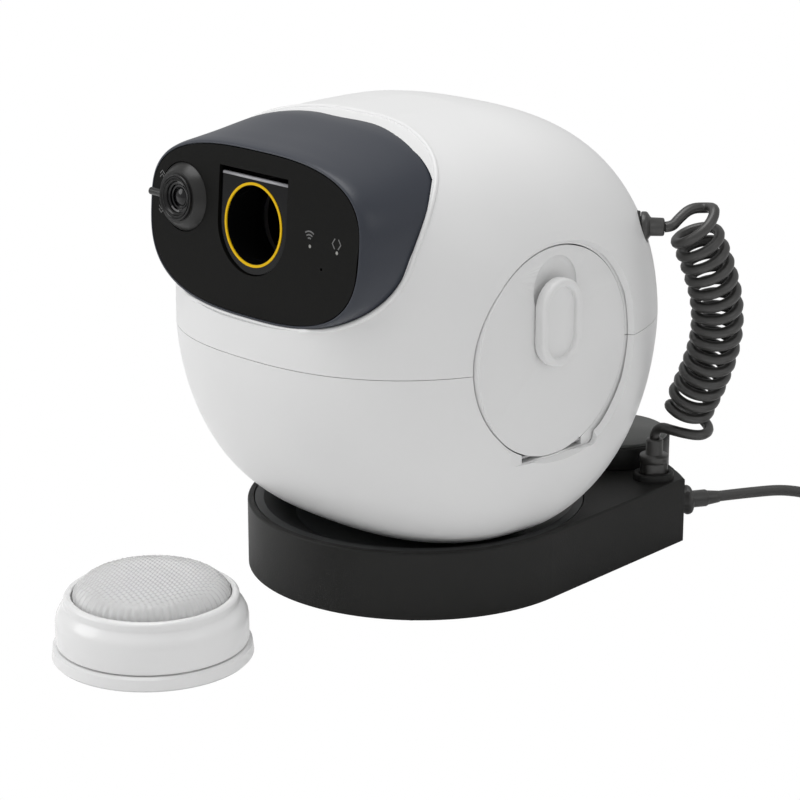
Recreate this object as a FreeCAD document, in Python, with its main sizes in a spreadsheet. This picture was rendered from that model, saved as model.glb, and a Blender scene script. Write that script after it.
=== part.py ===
import FreeCAD, Part
import math
import os
import re
from types import SimpleNamespace

from FreeCAD import Matrix, Placement, Rotation, Vector

# A pet camera that tosses treats: an egg-shaped head turns on a base with a tapered tail.
# The row frame has its origin on the head's turning axis at the floor, +Z up, with the
# base's tail towards +Y. Head pieces are modelled with the face towards -Y and are turned
# by head_yaw. Snout pieces are modelled on the face plane: x across, y back into the head,
# z up along the face.

doc = FreeCAD.newDocument("treat_camera")

SIZES = {
    # base
    "base_radius": 85.0, "base_height": 35.0, "rear_radius": 136.5, "tail_taper": 16.0,
    "side_wall": 2.4, "deck_wall": 2.6, "deck_edge_round": 1.2,
    "foot_height": 1.5, "foot_radius": 8.0, "foot_ring": 68.0,
    "plate_thickness": 2.5, "plate_gap": 0.3, "screw_radius": 1.5, "screw_head": 3.0,
    "boss_radius": 4.5, "boss_ring": 79.5, "boss_height": 22.0,
    "tower_distance": 119.0, "tower_radius": 29.5, "tower_height": 11.5,
    "cap_height": 1.6, "cap_inset": 1.0,
    # turntable and its drive
    "well_radius": 82.0, "well_gap": 0.6, "disc_rim": 4.4, "disc_thickness": 2.6, "dish_depth": 7.7,
    "dish_floor_radius": 61.0, "rim_drop": 0.3,
    "spindle_radius": 9.0, "spindle_shoulder": 12.0, "bearing_radius": 14.0,
    "bearing_height": 6.0, "bearing_seat": 16.0, "fit_gap": 0.15, "hub_radius": 30.0,
    "gear_module": 1.25, "gear_teeth": 60, "pinion_teeth": 15, "gear_width": 5.0,
    "pinion_width": 6.0, "gear_backlash": 0.3, "pressure_angle": 20.0,
    "motor_radius": 11.0, "motor_shaft": 1.5,
    # head
    "head_yaw": 12.5, "head_width": 105.0, "head_front": 114.8, "head_back": 113.0,
    "seam_height": 129.0, "dome_height": 103.5, "shell_wall": 2.5, "seam_gap": 0.3,
    "neck_height": 27.0, "neck_floor": 2.5,
    # snout and face
    "face_distance": 107.6, "face_height": 189.9, "face_tilt": 4.5,
    "snout_width": 76.7, "snout_top": 46.2, "snout_bottom": 44.5, "snout_depth": 62.0,
    "face_width": 71.0, "face_top": 35.0, "face_bottom": 43.0, "snout_gap": 0.9,
    "snout_wall": 2.5, "panel_inset": 1.2, "panel_gap": 0.2, "panel_thickness": 2.2,
    "frame_depth": 26.0, "frame_thickness": 2.5,
    # nozzle and barrel
    "arch_radius": 23.2, "arch_top": 24.5, "nozzle_gap": 0.6, "nozzle_top": 21.5,
    "nozzle_recess": 1.2, "nozzle_plate": 3.0, "nozzle_bore": 18.0, "nozzle_tube": 20.3,
    "ring_outer": 19.4, "ring_height": 0.3, "nozzle_pivot": 16.0, "pin_radius": 2.5,
    "barrel_bore": 20.5, "barrel_wall": 2.0, "barrel_length": 121.0, "barrel_cap": 3.0,
    "piston_depth": 108.0, "piston_height": 6.0, "piston_gap": 0.4, "rod_radius": 4.0,
    "spring_wire": 1.4,
    # camera eyeball
    "eye_offset": 47.7, "eye_height": 5.5, "eye_radius": 18.5, "eye_depth": 9.6,
    "eye_proud": 4.2, "lens_ring": 11.0, "lens_bore": 8.6,
    "lens_radius": 8.2, "lever_radius": 1.8, "lever_length": 8.6, "eye_pin": 2.0,
    # hopper and door
    "door_face": 98.5, "door_centre": -11.3, "door_height": 131.3, "door_radius": 49.4,
    "door_gap": 0.6, "door_thickness": 5.0, "door_ring": 53.1, "hinge_pin": 0.8,
    "hinge_drop": 47.1, "hinge_depth": 1.5, "hinge_reach": 24.0, "hinge_width": 38.0,
    "tub_bore": 44.0, "tub_wall": 2.2, "tub_floor": 42.0, "tub_flange": 51.5,
    "seal_height": 0.7, "wheel_radius": 41.5, "wheel_hub": 7.0, "wheel_depth": 14.0,
    "wheel_paddles": 6, "wheel_motor": 14.0, "outlet_radius": 9.0, "outlet_rise": 31.0,
    "grip_length": 41.5, "grip_width": 27.0, "grip_height": 5.4, "grip_centre": 145.8,
    "tongue_width": 12.0,
    # cords
    "socket_angle": 130.0, "socket_height": 173.5, "socket_radius": 7.6,
    "curly_cord": 5.0, "curly_outside": 26.4, "power_cord": 5.6, "inlet_angle": 16.0,
    "inlet_height": 17.5, "coil_radius": 30.8, "coil_section": 10.2,
    # push button
    "button_x": 40.0, "button_y": -169.0, "flange_radius": 46.0, "flange_height": 6.7,
    "case_radius": 44.0, "case_collar": 39.8, "case_height": 31.5, "case_wall": 2.4,
    "dome_radius": 36.0, "dome_rise": 9.5, "dome_wall": 2.0,
}

sheet = doc.addObject("Spreadsheet::Sheet", "sizes")
for row, (alias, number) in enumerate(SIZES.items(), start=1):
    sheet.set("A%d" % row, alias)
    sheet.set("B%d" % row, str(number))
    sheet.setAlias("B%d" % row, alias)
doc.recompute()
dim = SimpleNamespace(**{alias: float(sheet.get(alias)) for alias in SIZES})

UP = Vector(0, 0, 1)
TURN = {"z": Rotation(), "x": Rotation(Vector(0, 1, 0), 90), "y": Rotation(Vector(1, 0, 0), -90)}

ROOT = Placement()
HEAD = Placement(Vector(), Rotation(UP, dim.head_yaw))
FACE = Placement(Vector(0, -dim.face_distance, dim.face_height),
                 Rotation(Vector(1, 0, 0), -dim.face_tilt))
SNOUT = HEAD.multiply(FACE)
BUTTON = Placement(Vector(dim.button_x, dim.button_y, 0), Rotation())

nodes = []


# ------------------------------------------------------------------ building helpers

def bound(text):
    """Turn an expression of aliases into one that reads the sheet."""
    def cell(match):
        word = match.group()
        return "sizes." + word if word in SIZES else word
    return re.sub(r"[a-z_]+", cell, str(text))


def place(solid, at, turn="z"):
    solid.Placement = Placement(Vector(), TURN[turn])
    for axis, text in zip("xyz", at):
        solid.setExpression("Placement.Base." + axis, bound(text))
    return solid


def cylinder(name, radius, height, at=(0, 0, 0), turn="z"):
    solid = doc.addObject("Part::Cylinder", name)
    solid.setExpression("Radius", bound(radius))
    solid.setExpression("Height", bound(height))
    return place(solid, at, turn)


def cone(name, radius_low, radius_high, height, at=(0, 0, 0), turn="z"):
    solid = doc.addObject("Part::Cone", name)
    solid.setExpression("Radius1", bound(radius_low))
    solid.setExpression("Radius2", bound(radius_high))
    solid.setExpression("Height", bound(height))
    return place(solid, at, turn)


def box(name, length, width, height, at=(0, 0, 0)):
    solid = doc.addObject("Part::Box", name)
    solid.setExpression("Length", bound(length))
    solid.setExpression("Width", bound(width))
    solid.setExpression("Height", bound(height))
    return place(solid, at)


def shape(name, solid):
    feature = doc.addObject("Part::Feature", name)
    feature.Shape = solid
    return feature


def fuse(name, *solids):
    result = doc.addObject("Part::MultiFuse", name)
    result.Shapes = list(solids)
    return result


def cut(name, base, *tools):
    result = doc.addObject("Part::Cut", name)
    result.Base = base
    result.Tool = tools[0] if len(tools) == 1 else fuse(name + "_tools", *tools)
    return result


def ring(name, outer, inner, height, at=(0, 0, 0), turn="z"):
    wall = cylinder(name + "_outer", outer, height, at, turn)
    bore = cylinder(name + "_bore", inner, height, at, turn)
    return cut(name, wall, bore)


def slot(name, length, width, height, at, turn_angle=0.0, upright=False):
    """A prism with two round ends: length over the ends, along x before it is turned."""
    half = "((%s) - (%s)) / 2" % (length, width)
    middle = box(name + "_middle", "(%s) - (%s)" % (length, width), width, height,
                 ("-" + half, "-(%s) / 2" % width, 0))
    left = cylinder(name + "_left", "(%s) / 2" % width, height, ("-" + half, 0, 0))
    right = cylinder(name + "_right", "(%s) / 2" % width, height, (half, 0, 0))
    prism = fuse(name, middle, left, right)
    spin = Rotation(UP, turn_angle)
    if upright:
        spin = Rotation(Vector(0, 1, 0), 90)
    prism.Placement = Placement(Vector(*at), spin)
    return prism


def node(label, frame, *solids):
    """One named sub-part: its solids in their own frame, and the frame's place."""
    part = doc.addObject("Part::Compound", label)
    part.Label = label
    part.Links = list(solids)
    part.Placement = frame
    nodes.append(part)
    return part


def body(name):
    return doc.addObject("PartDesign::Body", name)


def sketch_on(part_body, name, height):
    """A sketch on the body's own XY plane, raised to a height read from the sheet."""
    plane = next(f for f in part_body.Origin.OriginFeatures if f.Role == "XY_Plane")
    sketch = part_body.newObject("Sketcher::SketchObject", name)
    sketch.AttachmentSupport = [(plane, "")]
    sketch.MapMode = "FlatFace"
    sketch.setExpression("AttachmentOffset.Base.z", bound(height))
    return sketch


def pad(part_body, name, sketch, length):
    feature = part_body.newObject("PartDesign::Pad", name)
    feature.Profile = sketch
    feature.setExpression("Length", bound(length))
    return feature


def pocket(part_body, name, sketch, length, upwards):
    feature = part_body.newObject("PartDesign::Pocket", name)
    feature.Profile = sketch
    feature.setExpression("Length", bound(length))
    feature.Reversed = upwards
    return feature


def polar(radius, angle, height=0.0):
    return Vector(radius * math.cos(angle), radius * math.sin(angle), height)


# ------------------------------------------------------------------ base

def base_outline(inset):
    """Round front, sides converging to the tail, a rear arc and the tower's bulge."""
    front = dim.base_radius - inset
    rear = dim.rear_radius - inset
    tower = dim.tower_radius - inset
    taper = math.radians(dim.tail_taper)
    touch = Vector(front * math.cos(taper), front * math.sin(taper), 0)
    run = math.sqrt(rear ** 2 - front ** 2)
    corner = touch + Vector(-run * math.sin(taper), run * math.cos(taper), 0)
    meet_y = (rear ** 2 - tower ** 2 + dim.tower_distance ** 2) / (2 * dim.tower_distance)
    meet = Vector(math.sqrt(rear ** 2 - meet_y ** 2), meet_y, 0)
    middle_angle = (math.atan2(corner.y, corner.x) + math.atan2(meet.y, meet.x)) / 2
    middle = polar(rear, middle_angle)

    def mirrored(point):
        return Vector(-point.x, point.y, 0)

    return [
        Part.Arc(mirrored(touch), Vector(0, -front, 0), touch),
        Part.LineSegment(touch, corner),
        Part.Arc(corner, middle, meet),
        Part.Arc(meet, Vector(0, dim.tower_distance + tower, 0), mirrored(meet)),
        Part.Arc(mirrored(meet), mirrored(middle), mirrored(corner)),
        Part.LineSegment(mirrored(corner), mirrored(touch)),
    ]


def add_outline(sketch, curves):
    for curve in curves:
        sketch.addGeometry(curve, False)


def well_bosses():
    """Screw bosses that stand against the front wall, below the turntable's rim."""
    return [polar(dim.boss_ring, math.radians(a)) for a in (-35, 215)]


def tail_bosses():
    """Screw bosses under the deck, one on each side of the tail."""
    return [Vector(sign * 54, dim.boss_ring + 6, 0) for sign in (-1, 1)]


def boss_places():
    return well_bosses() + tail_bosses()


def make_base_housing():
    housing = body("base_housing_body")
    outline = sketch_on(housing, "housing_outline", "foot_height")
    add_outline(outline, base_outline(0))
    pad(housing, "housing_block", outline, "base_height - foot_height")
    hollow = sketch_on(housing, "housing_hollow", "foot_height")
    add_outline(hollow, base_outline(dim.side_wall))
    pocket(housing, "housing_room", hollow, "base_height - foot_height - deck_wall", True)
    well = sketch_on(housing, "housing_well", "base_height")
    well.addGeometry(Part.Circle(Vector(), UP, dim.well_radius), False)
    pocket(housing, "housing_opening", well, "deck_wall + side_wall", False)
    for name, spots, height in (("well_posts", well_bosses(), "boss_height"),
                                ("tail_posts", tail_bosses(), "base_height - deck_wall / 2"
                                 " - foot_height - plate_thickness")):
        bosses = sketch_on(housing, name + "_sketch", "foot_height + plate_thickness")
        for spot in spots:
            bosses.addGeometry(Part.Circle(spot, UP, dim.boss_radius), False)
        pad(housing, name, bosses, height)
    doc.recompute()
    block = housing.Tip
    rim = ["Edge%d" % (i + 1) for i, edge in enumerate(block.Shape.Edges)
           if is_deck_rim(edge)]
    edge_round = housing.newObject("PartDesign::Fillet", "housing_edge")
    edge_round.Base = (block, rim)
    edge_round.setExpression("Radius", bound("deck_edge_round"))
    housing.Tip = edge_round
    pilots = [cylinder("pilot_%d" % i, "screw_radius - 0.1", "base_height / 2",
                       (spot.x, spot.y, "foot_height"))
              for i, spot in enumerate(boss_places())]
    cord_hole = cord_socket_prism("deck_slot", 17.4, 13.0, dim.base_height - 6.0, 10.0)
    inlet_hole = radial_cylinder("inlet_hole", 6.8, 124.0, 140.0, inlet_axis(), dim.inlet_height)
    return node("base_housing", ROOT,
                cut("housing_drilled", housing, cord_hole, inlet_hole, *pilots))


def is_deck_rim(edge):
    """True for the outline's top edges, apart from the well's and the tower's."""
    ends = edge.BoundBox
    flat = abs(ends.ZMin - dim.base_height) < 0.01 and abs(ends.ZMax - dim.base_height) < 0.01
    middle = edge.valueAt((edge.FirstParameter + edge.LastParameter) / 2)
    on_well = abs(math.hypot(middle.x, middle.y) - dim.well_radius) < 0.05
    from_tower = math.hypot(middle.x, middle.y - dim.tower_distance)
    return flat and not on_well and from_tower > dim.tower_radius + 1


def radial_cylinder(name, radius, start, end, angle, height):
    """A cylinder along a radius at an angle from +X, between two distances."""
    solid = doc.addObject("Part::Cylinder", name)
    solid.Radius = radius
    solid.Height = end - start
    direction = polar(1, angle)
    solid.Placement = Placement(direction * start + Vector(0, 0, height),
                                Rotation(UP, direction))
    return solid


def radial_cone(name, radius_low, radius_high, start, end, angle, height):
    solid = doc.addObject("Part::Cone", name)
    solid.Radius1 = radius_low
    solid.Radius2 = radius_high
    solid.Height = end - start
    direction = polar(1, angle)
    solid.Placement = Placement(direction * start + Vector(0, 0, height),
                                Rotation(UP, direction))
    return solid


def inlet_axis():
    return math.radians(90 - dim.inlet_angle)


def make_base_plate():
    plate = body("base_plate_body")
    outline = sketch_on(plate, "plate_outline", "foot_height")
    add_outline(outline, base_outline(dim.side_wall + dim.plate_gap))
    pad(plate, "plate_sheet", outline, "plate_thickness")
    posts = sketch_on(plate, "plate_posts", "foot_height + plate_thickness / 2")
    for spot in board_posts():
        posts.addGeometry(Part.Circle(spot, UP, 2.5), False)
    pad(plate, "plate_standoffs", posts, "plate_thickness / 2 + 3")
    top = "foot_height + plate_thickness"
    shoulder = cylinder("spindle_shoulder_post", "spindle_shoulder", "bearing_seat - " + top.replace(" + ", " - "),
                        (0, 0, top))
    pin = cylinder("spindle_post", "spindle_radius", "bearing_height + 0.4", (0, 0, "bearing_seat"))
    holes = [cylinder("plate_hole_%d" % i, "screw_radius + 0.2", "plate_thickness + 2",
                      (spot.x, spot.y, "foot_height - 1"))
             for i, spot in enumerate(boss_places())]
    joined = fuse("plate_with_spindle", plate, shoulder, pin)
    node("base_plate", ROOT, cut("plate_drilled", joined, *holes))
    screws = []
    for i, spot in enumerate(boss_places()):
        head = cylinder("screw_head_%d" % i, "screw_head", "foot_height - 0.4",
                        (spot.x, spot.y, 0.4))
        shank = cylinder("screw_shank_%d" % i, "screw_radius - 0.15", "plate_thickness + 10",
                         (spot.x, spot.y, "foot_height"))
        screws.append(fuse("screw_%d" % i, head, shank))
    node("base_screws", ROOT, *screws)


def board_posts():
    return [Vector(x, y, 0) for x in (-20, 20) for y in (55, 93)]


def make_base_feet():
    spots = [polar(dim.foot_ring, math.radians(a)) for a in (-90, -20, 200)]
    spots += [Vector(sign * 34, dim.tower_distance - 6, 0) for sign in (-1, 1)]
    spots.append(Vector())
    feet = [cylinder("foot_%d" % i, "foot_radius", "foot_height", (spot.x, spot.y, 0))
            for i, spot in enumerate(spots)]
    node("base_feet", ROOT, *feet)


def make_tower():
    deck = "base_height"
    wall = cylinder("tower_block", "tower_radius", "tower_height", (0, "tower_distance", deck))
    room = cylinder("tower_room", "tower_radius - side_wall", "tower_height - deck_wall",
                    (0, "tower_distance", deck))
    node("rear_tower", ROOT, cut("tower_shell", wall, room))
    cap_top = cone("tower_cap_top", "tower_radius - cap_inset", "tower_radius - cap_inset - 0.6",
                   "cap_height", (0, "tower_distance", "base_height + tower_height"))
    node("tower_cap", ROOT, cap_top)


def cord_socket_place():
    return Vector(43.5, 112.8, 0)


def cord_socket_prism(name, length, width, low, height):
    spot = cord_socket_place()
    angle = math.degrees(math.atan2(spot.y, spot.x))
    return slot(name, length, width, height, (spot.x, spot.y, low), angle)


def make_cord_socket():
    deck = dim.base_height
    lip = cord_socket_prism("socket_lip", 20.5, 16.0, deck, 3.6)
    stem = cord_socket_prism("socket_stem", 17.0, 12.6, deck - 5.0, 5.0)
    room = cord_socket_prism("socket_room", 14.8, 10.8, deck - 2.0, 8.0)
    node("cord_socket", ROOT, cut("socket_cut", fuse("socket_block", lip, stem), room))


def make_base_cord_plug():
    deck = dim.base_height
    spot = cord_socket_place()
    nose = cord_socket_prism("plug_nose", 14.2, 10.2, deck - 1.8, 11.0)
    flange = cylinder("plug_flange", 7.4, 3.6, (spot.x, spot.y, deck + 9.2))
    sleeve = cylinder("plug_sleeve", 4.3, 8.4, (spot.x, spot.y, deck + 12.6))
    node("base_cord_plug", ROOT, fuse("plug_whole", nose, flange, sleeve))


def make_power_inlet():
    angle = inlet_axis()
    height = dim.inlet_height
    sleeve = radial_cylinder("inlet_sleeve", 6.5, 122.0, 136.2, angle, height)
    bore = radial_cylinder("inlet_bore", 4.4, 126.0, 140.0, angle, height)
    node("power_inlet", ROOT, cut("inlet_cut", sleeve, bore))
    nose = radial_cylinder("power_nose", 4.1, 128.0, 137.2, angle, height)
    collar = radial_cone("power_collar", 5.4, 7.6, 137.0, 143.2, angle, height)
    lip = radial_cylinder("power_lip", 7.2, 143.2, 145.0, angle, height)
    relief = radial_cylinder("power_relief", 4.4, 145.0, 154.5, angle, height)
    node("power_plug", ROOT, fuse("power_plug_whole", nose, collar, lip, relief))


# ------------------------------------------------------------------ turntable and drive

def revolve(points):
    """A solid turned about Z from radius and height pairs."""
    wire = Part.makePolygon([Vector(r, 0, z) for r, z in points + points[:1]])
    return Part.Face(wire).revolve(Vector(), UP, 360)


def make_turntable():
    rim_top = dim.base_height - dim.rim_drop
    edge = dim.well_radius - dim.well_gap
    inner = edge - dim.disc_rim
    floor_top = rim_top - dim.dish_depth
    down = dim.disc_thickness
    profile = [(0, floor_top), (dim.dish_floor_radius, floor_top), (inner, rim_top),
               (edge, rim_top), (edge, rim_top - down), (inner + 1, rim_top - down),
               (dim.dish_floor_radius + 1, floor_top - down), (0, floor_top - down)]
    node("turntable", HEAD, shape("turntable_disc", revolve(profile)))


def involute_gear(teeth, bore, low, height):
    """A spur gear: involute flanks from the base circle, tooth 0 centred on +X."""
    pitch = dim.gear_module * teeth / 2
    pressure = math.radians(dim.pressure_angle)
    base = pitch * math.cos(pressure)
    tip = pitch + dim.gear_module
    root = pitch - 1.25 * dim.gear_module
    half = math.pi / (2 * teeth) - dim.gear_backlash / (4 * pitch)

    def spread(radius):
        turn = math.acos(min(1.0, base / radius))
        return math.tan(turn) - turn

    low_flank = max(base, root)
    radii = [low_flank + (tip - low_flank) * share for share in (0, 0.5, 1)]
    flank = [(r, half + spread(pitch) - spread(r)) for r in radii]
    points = []
    for tooth in range(teeth):
        centre = 2 * math.pi * tooth / teeth
        points.append(polar(root, centre - flank[0][1]))
        points += [polar(r, centre - a) for r, a in flank]
        points += [polar(r, centre + a) for r, a in reversed(flank)]
        points.append(polar(root, centre + flank[0][1]))
    unique = [p for i, p in enumerate(points) if p.distanceToPoint(points[i - 1]) > 1e-6]
    outline = Part.Face(Part.makePolygon(unique + unique[:1]))
    blank = outline.extrude(Vector(0, 0, height))
    solid = blank.cut(Part.makeCylinder(bore, height))
    solid.translate(Vector(0, 0, low))
    return solid


def gear_centre_distance():
    return dim.gear_module * (dim.gear_teeth + dim.pinion_teeth) / 2


def make_yaw_drive():
    disc_bottom = dim.base_height - dim.rim_drop - dim.dish_depth - dim.disc_thickness
    gear_low = dim.bearing_seat + 0.5
    teeth = int(dim.gear_teeth)
    wheel = involute_gear(teeth, dim.bearing_radius + dim.fit_gap, gear_low, dim.gear_width)
    wheel.rotate(Vector(), UP, 180)
    hub_low = gear_low + dim.gear_width
    lip_low = dim.bearing_seat + dim.bearing_height + 0.2
    hub = revolve([(dim.bearing_radius + dim.fit_gap, hub_low), (dim.hub_radius, hub_low),
                   (dim.hub_radius, disc_bottom), (dim.bearing_radius - 3, disc_bottom),
                   (dim.bearing_radius - 3, lip_low),
                   (dim.bearing_radius + dim.fit_gap, lip_low)])
    node("yaw_gear", ROOT, shape("yaw_gear_solid", wheel.fuse(hub).removeSplitter()))
    node("yaw_bearing", ROOT, ring("bearing_ring", "bearing_radius", "spindle_radius",
                                   "bearing_height", (0, 0, "bearing_seat")))
    away = gear_centre_distance()
    pinion = involute_gear(int(dim.pinion_teeth), dim.motor_shaft + dim.fit_gap,
                           dim.bearing_seat, dim.pinion_width)
    pinion.rotate(Vector(), UP, 180 / dim.pinion_teeth)
    pinion.translate(Vector(-away, 0, 0))
    node("yaw_pinion", ROOT, shape("yaw_pinion_solid", pinion))
    floor = "foot_height + plate_thickness"
    can = cylinder("yaw_motor_can", "motor_radius", 10.5, (-away, 0, floor))
    shaft = cylinder("yaw_motor_shaft", "motor_shaft",
                     "bearing_seat + pinion_width - foot_height - plate_thickness",
                     (-away, 0, floor))
    node("yaw_motor", ROOT, fuse("yaw_motor_whole", can, shaft))
    board = box("base_board_sheet", 50, 48, 1.6, (-25, 50, "foot_height + plate_thickness + 3"))
    chip = box("base_board_chip", 12, 12, 1.8, (-6, 66, "foot_height + plate_thickness + 4.6"))
    node("base_board", ROOT, fuse("base_board_whole", board, chip))


# ------------------------------------------------------------------ head shells

# Powers of the head's side, front and back profiles: outwards, then upwards.
UPPER = {"side": (3.11, 2.77), "front": (5.8, 5.5), "back": (2.42, 1.6)}
LOWER = {"side": (4.0, 2.68), "front": (2.95, 1.5), "back": (2.09, 1.78)}
PLAN_POWER = 2.45
SECTION_POINTS = 20
SECTION_STEPS = 8


def fullness(rise, powers):
    outwards, upwards = powers
    return (1 - rise ** upwards) ** (1 / outwards)


def head_section(profiles, rise, inset, height):
    """The head's closed plan curve at a share of the way to its top or bottom."""
    across = (dim.head_width - inset) * fullness(rise, profiles["side"])
    front = (dim.head_front - inset) * fullness(rise, profiles["front"])
    back = (dim.head_back - inset) * fullness(rise, profiles["back"])
    points = []
    for step in range(SECTION_POINTS):
        turn = 2 * math.pi * step / SECTION_POINTS
        cosine, sine = math.cos(turn), math.sin(turn)
        x = across * math.copysign(abs(cosine) ** (2 / PLAN_POWER), cosine)
        depth = front if sine < 0 else back
        y = depth * math.copysign(abs(sine) ** (2 / PLAN_POWER), sine)
        points.append(Vector(x, y, height))
    curve = Part.BSplineCurve()
    curve.interpolate(points, PeriodicFlag=True)
    return Part.Wire(curve.toShape())


def head_half(profiles, inset, start, end):
    """A loft of the head from its seam to the end height, set in by a wall.

    The outside is one smooth surface and the hidden inside is a few straight bands.
    """
    reach = dim.dome_height - inset
    way = 1 if end > start else -1
    last = math.asin(min(abs(end - dim.seam_height) / reach, 0.998))
    sections = []
    for step in range(SECTION_STEPS):
        rise = math.sin(last * step / (SECTION_STEPS - 1))
        height = dim.seam_height + way * rise * reach
        if step == 0:
            height = start
        sections.append(head_section(profiles, rise, inset, height))
    return Part.makeLoft(sections, True, inset > 0)


def head_solid(inset, low):
    """The whole head set in by a wall, from a low height to the top, as one solid."""
    top = dim.seam_height + dim.dome_height
    upper = head_half(UPPER, inset, dim.seam_height, top)
    lower = head_half(LOWER, inset, dim.seam_height, low)
    return upper.fuse(lower)


SNOUT_POINTS = 24
# Depth behind the face, how far the sides and foot have grown to their widest, how far the
# top has, and the power of the outline's curve. The top dips where it passes into the head.
SNOUT_STATIONS = ((0.0, 0.0, 0.0, 2.85), (1.0, 0.16, 0.05, 2.85), (2.5, 0.32, 0.09, 2.83),
                  (5.0, 0.5, 0.15, 2.8), (9.0, 0.68, 0.23, 2.74), (15.0, 0.84, 0.36, 2.68),
                  (24.0, 0.95, 0.55, 2.66), (38.0, 1.0, 0.87, 2.68), (44.0, 1.0, 0.98, 2.7),
                  (47.0, 0.9, 0.93, 2.7), (51.0, 0.6, 0.68, 2.7), (80.0, 0.6, 0.68, 2.7))


def snout_shares(depth):
    """The growth of the sides, the growth of the top and the power at a depth."""
    for first, second in zip(SNOUT_STATIONS, SNOUT_STATIONS[1:]):
        if depth <= second[0]:
            share = max(0.0, (depth - first[0]) / (second[0] - first[0]))
            return [a + share * (b - a) for a, b in zip(first[1:], second[1:])]


def snout_curve(depth, inset):
    """The closed rounded outline of the snout at a depth behind the face, set in by a wall."""
    sides, rise, power = snout_shares(depth)
    width = dim.face_width + sides * (dim.snout_width - dim.face_width) - inset
    top = dim.face_top + rise * (dim.snout_top - dim.face_top) - inset
    bottom = dim.face_bottom + sides * (dim.snout_bottom - dim.face_bottom) - inset
    points = []
    for step in range(SNOUT_POINTS):
        turn = 2 * math.pi * step / SNOUT_POINTS
        cosine, sine = math.cos(turn), math.sin(turn)
        x = width * math.copysign(abs(cosine) ** (2 / power), cosine)
        reach = top if sine > 0 else bottom
        points.append(Vector(x, depth, reach * math.copysign(abs(sine) ** (2 / power), sine)))
    curve = Part.BSplineCurve()
    curve.interpolate(points, PeriodicFlag=True)
    return Part.Wire(curve.toShape())


def snout_block(inset, start, end):
    """The snout's solid between two depths, set in by a wall."""
    depths = [start] + [station[0] for station in SNOUT_STATIONS if start < station[0] < end]
    return Part.makeLoft([snout_curve(depth, inset) for depth in depths + [end]], True, True)


def in_head(solid):
    """Place a solid that was made on the face plane into the head's frame."""
    placed = solid.copy()
    placed.Placement = FACE
    return placed


def door_drum(radius, start, end):
    spot = Vector(start, dim.door_centre, dim.door_height)
    return Part.makeCylinder(radius, end - start, spot, Vector(1, 0, 0))


def hinge_rod(radius):
    spot = Vector(dim.door_face - dim.hinge_depth, dim.door_centre - dim.hinge_reach,
                  dim.door_height - dim.hinge_drop)
    return Part.makeCylinder(radius, 2 * dim.hinge_reach, spot, Vector(0, 1, 0))


def socket_axis():
    return math.radians(dim.socket_angle - 90)


def head_radial(radius, start, end):
    direction = polar(1, socket_axis())
    return Part.makeCylinder(radius, end - start,
                             direction * start + Vector(0, 0, dim.socket_height), direction)


def plan_reach(turn):
    """The head's radius at its seam, at an angle from +X."""
    depth = dim.head_front if math.sin(turn) < 0 else dim.head_back
    across = abs(math.cos(turn) / dim.head_width) ** PLAN_POWER
    along = abs(math.sin(turn) / depth) ** PLAN_POWER
    return (across + along) ** (-1 / PLAN_POWER)


def shell_boss_places():
    """Screw bosses on the wall at the seam, clear of the hopper and the snout."""
    turns = [math.radians(a) for a in (62, 118, 165, 222)]
    return [polar(plan_reach(turn) - dim.shell_wall - 4.8, turn) for turn in turns]


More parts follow.
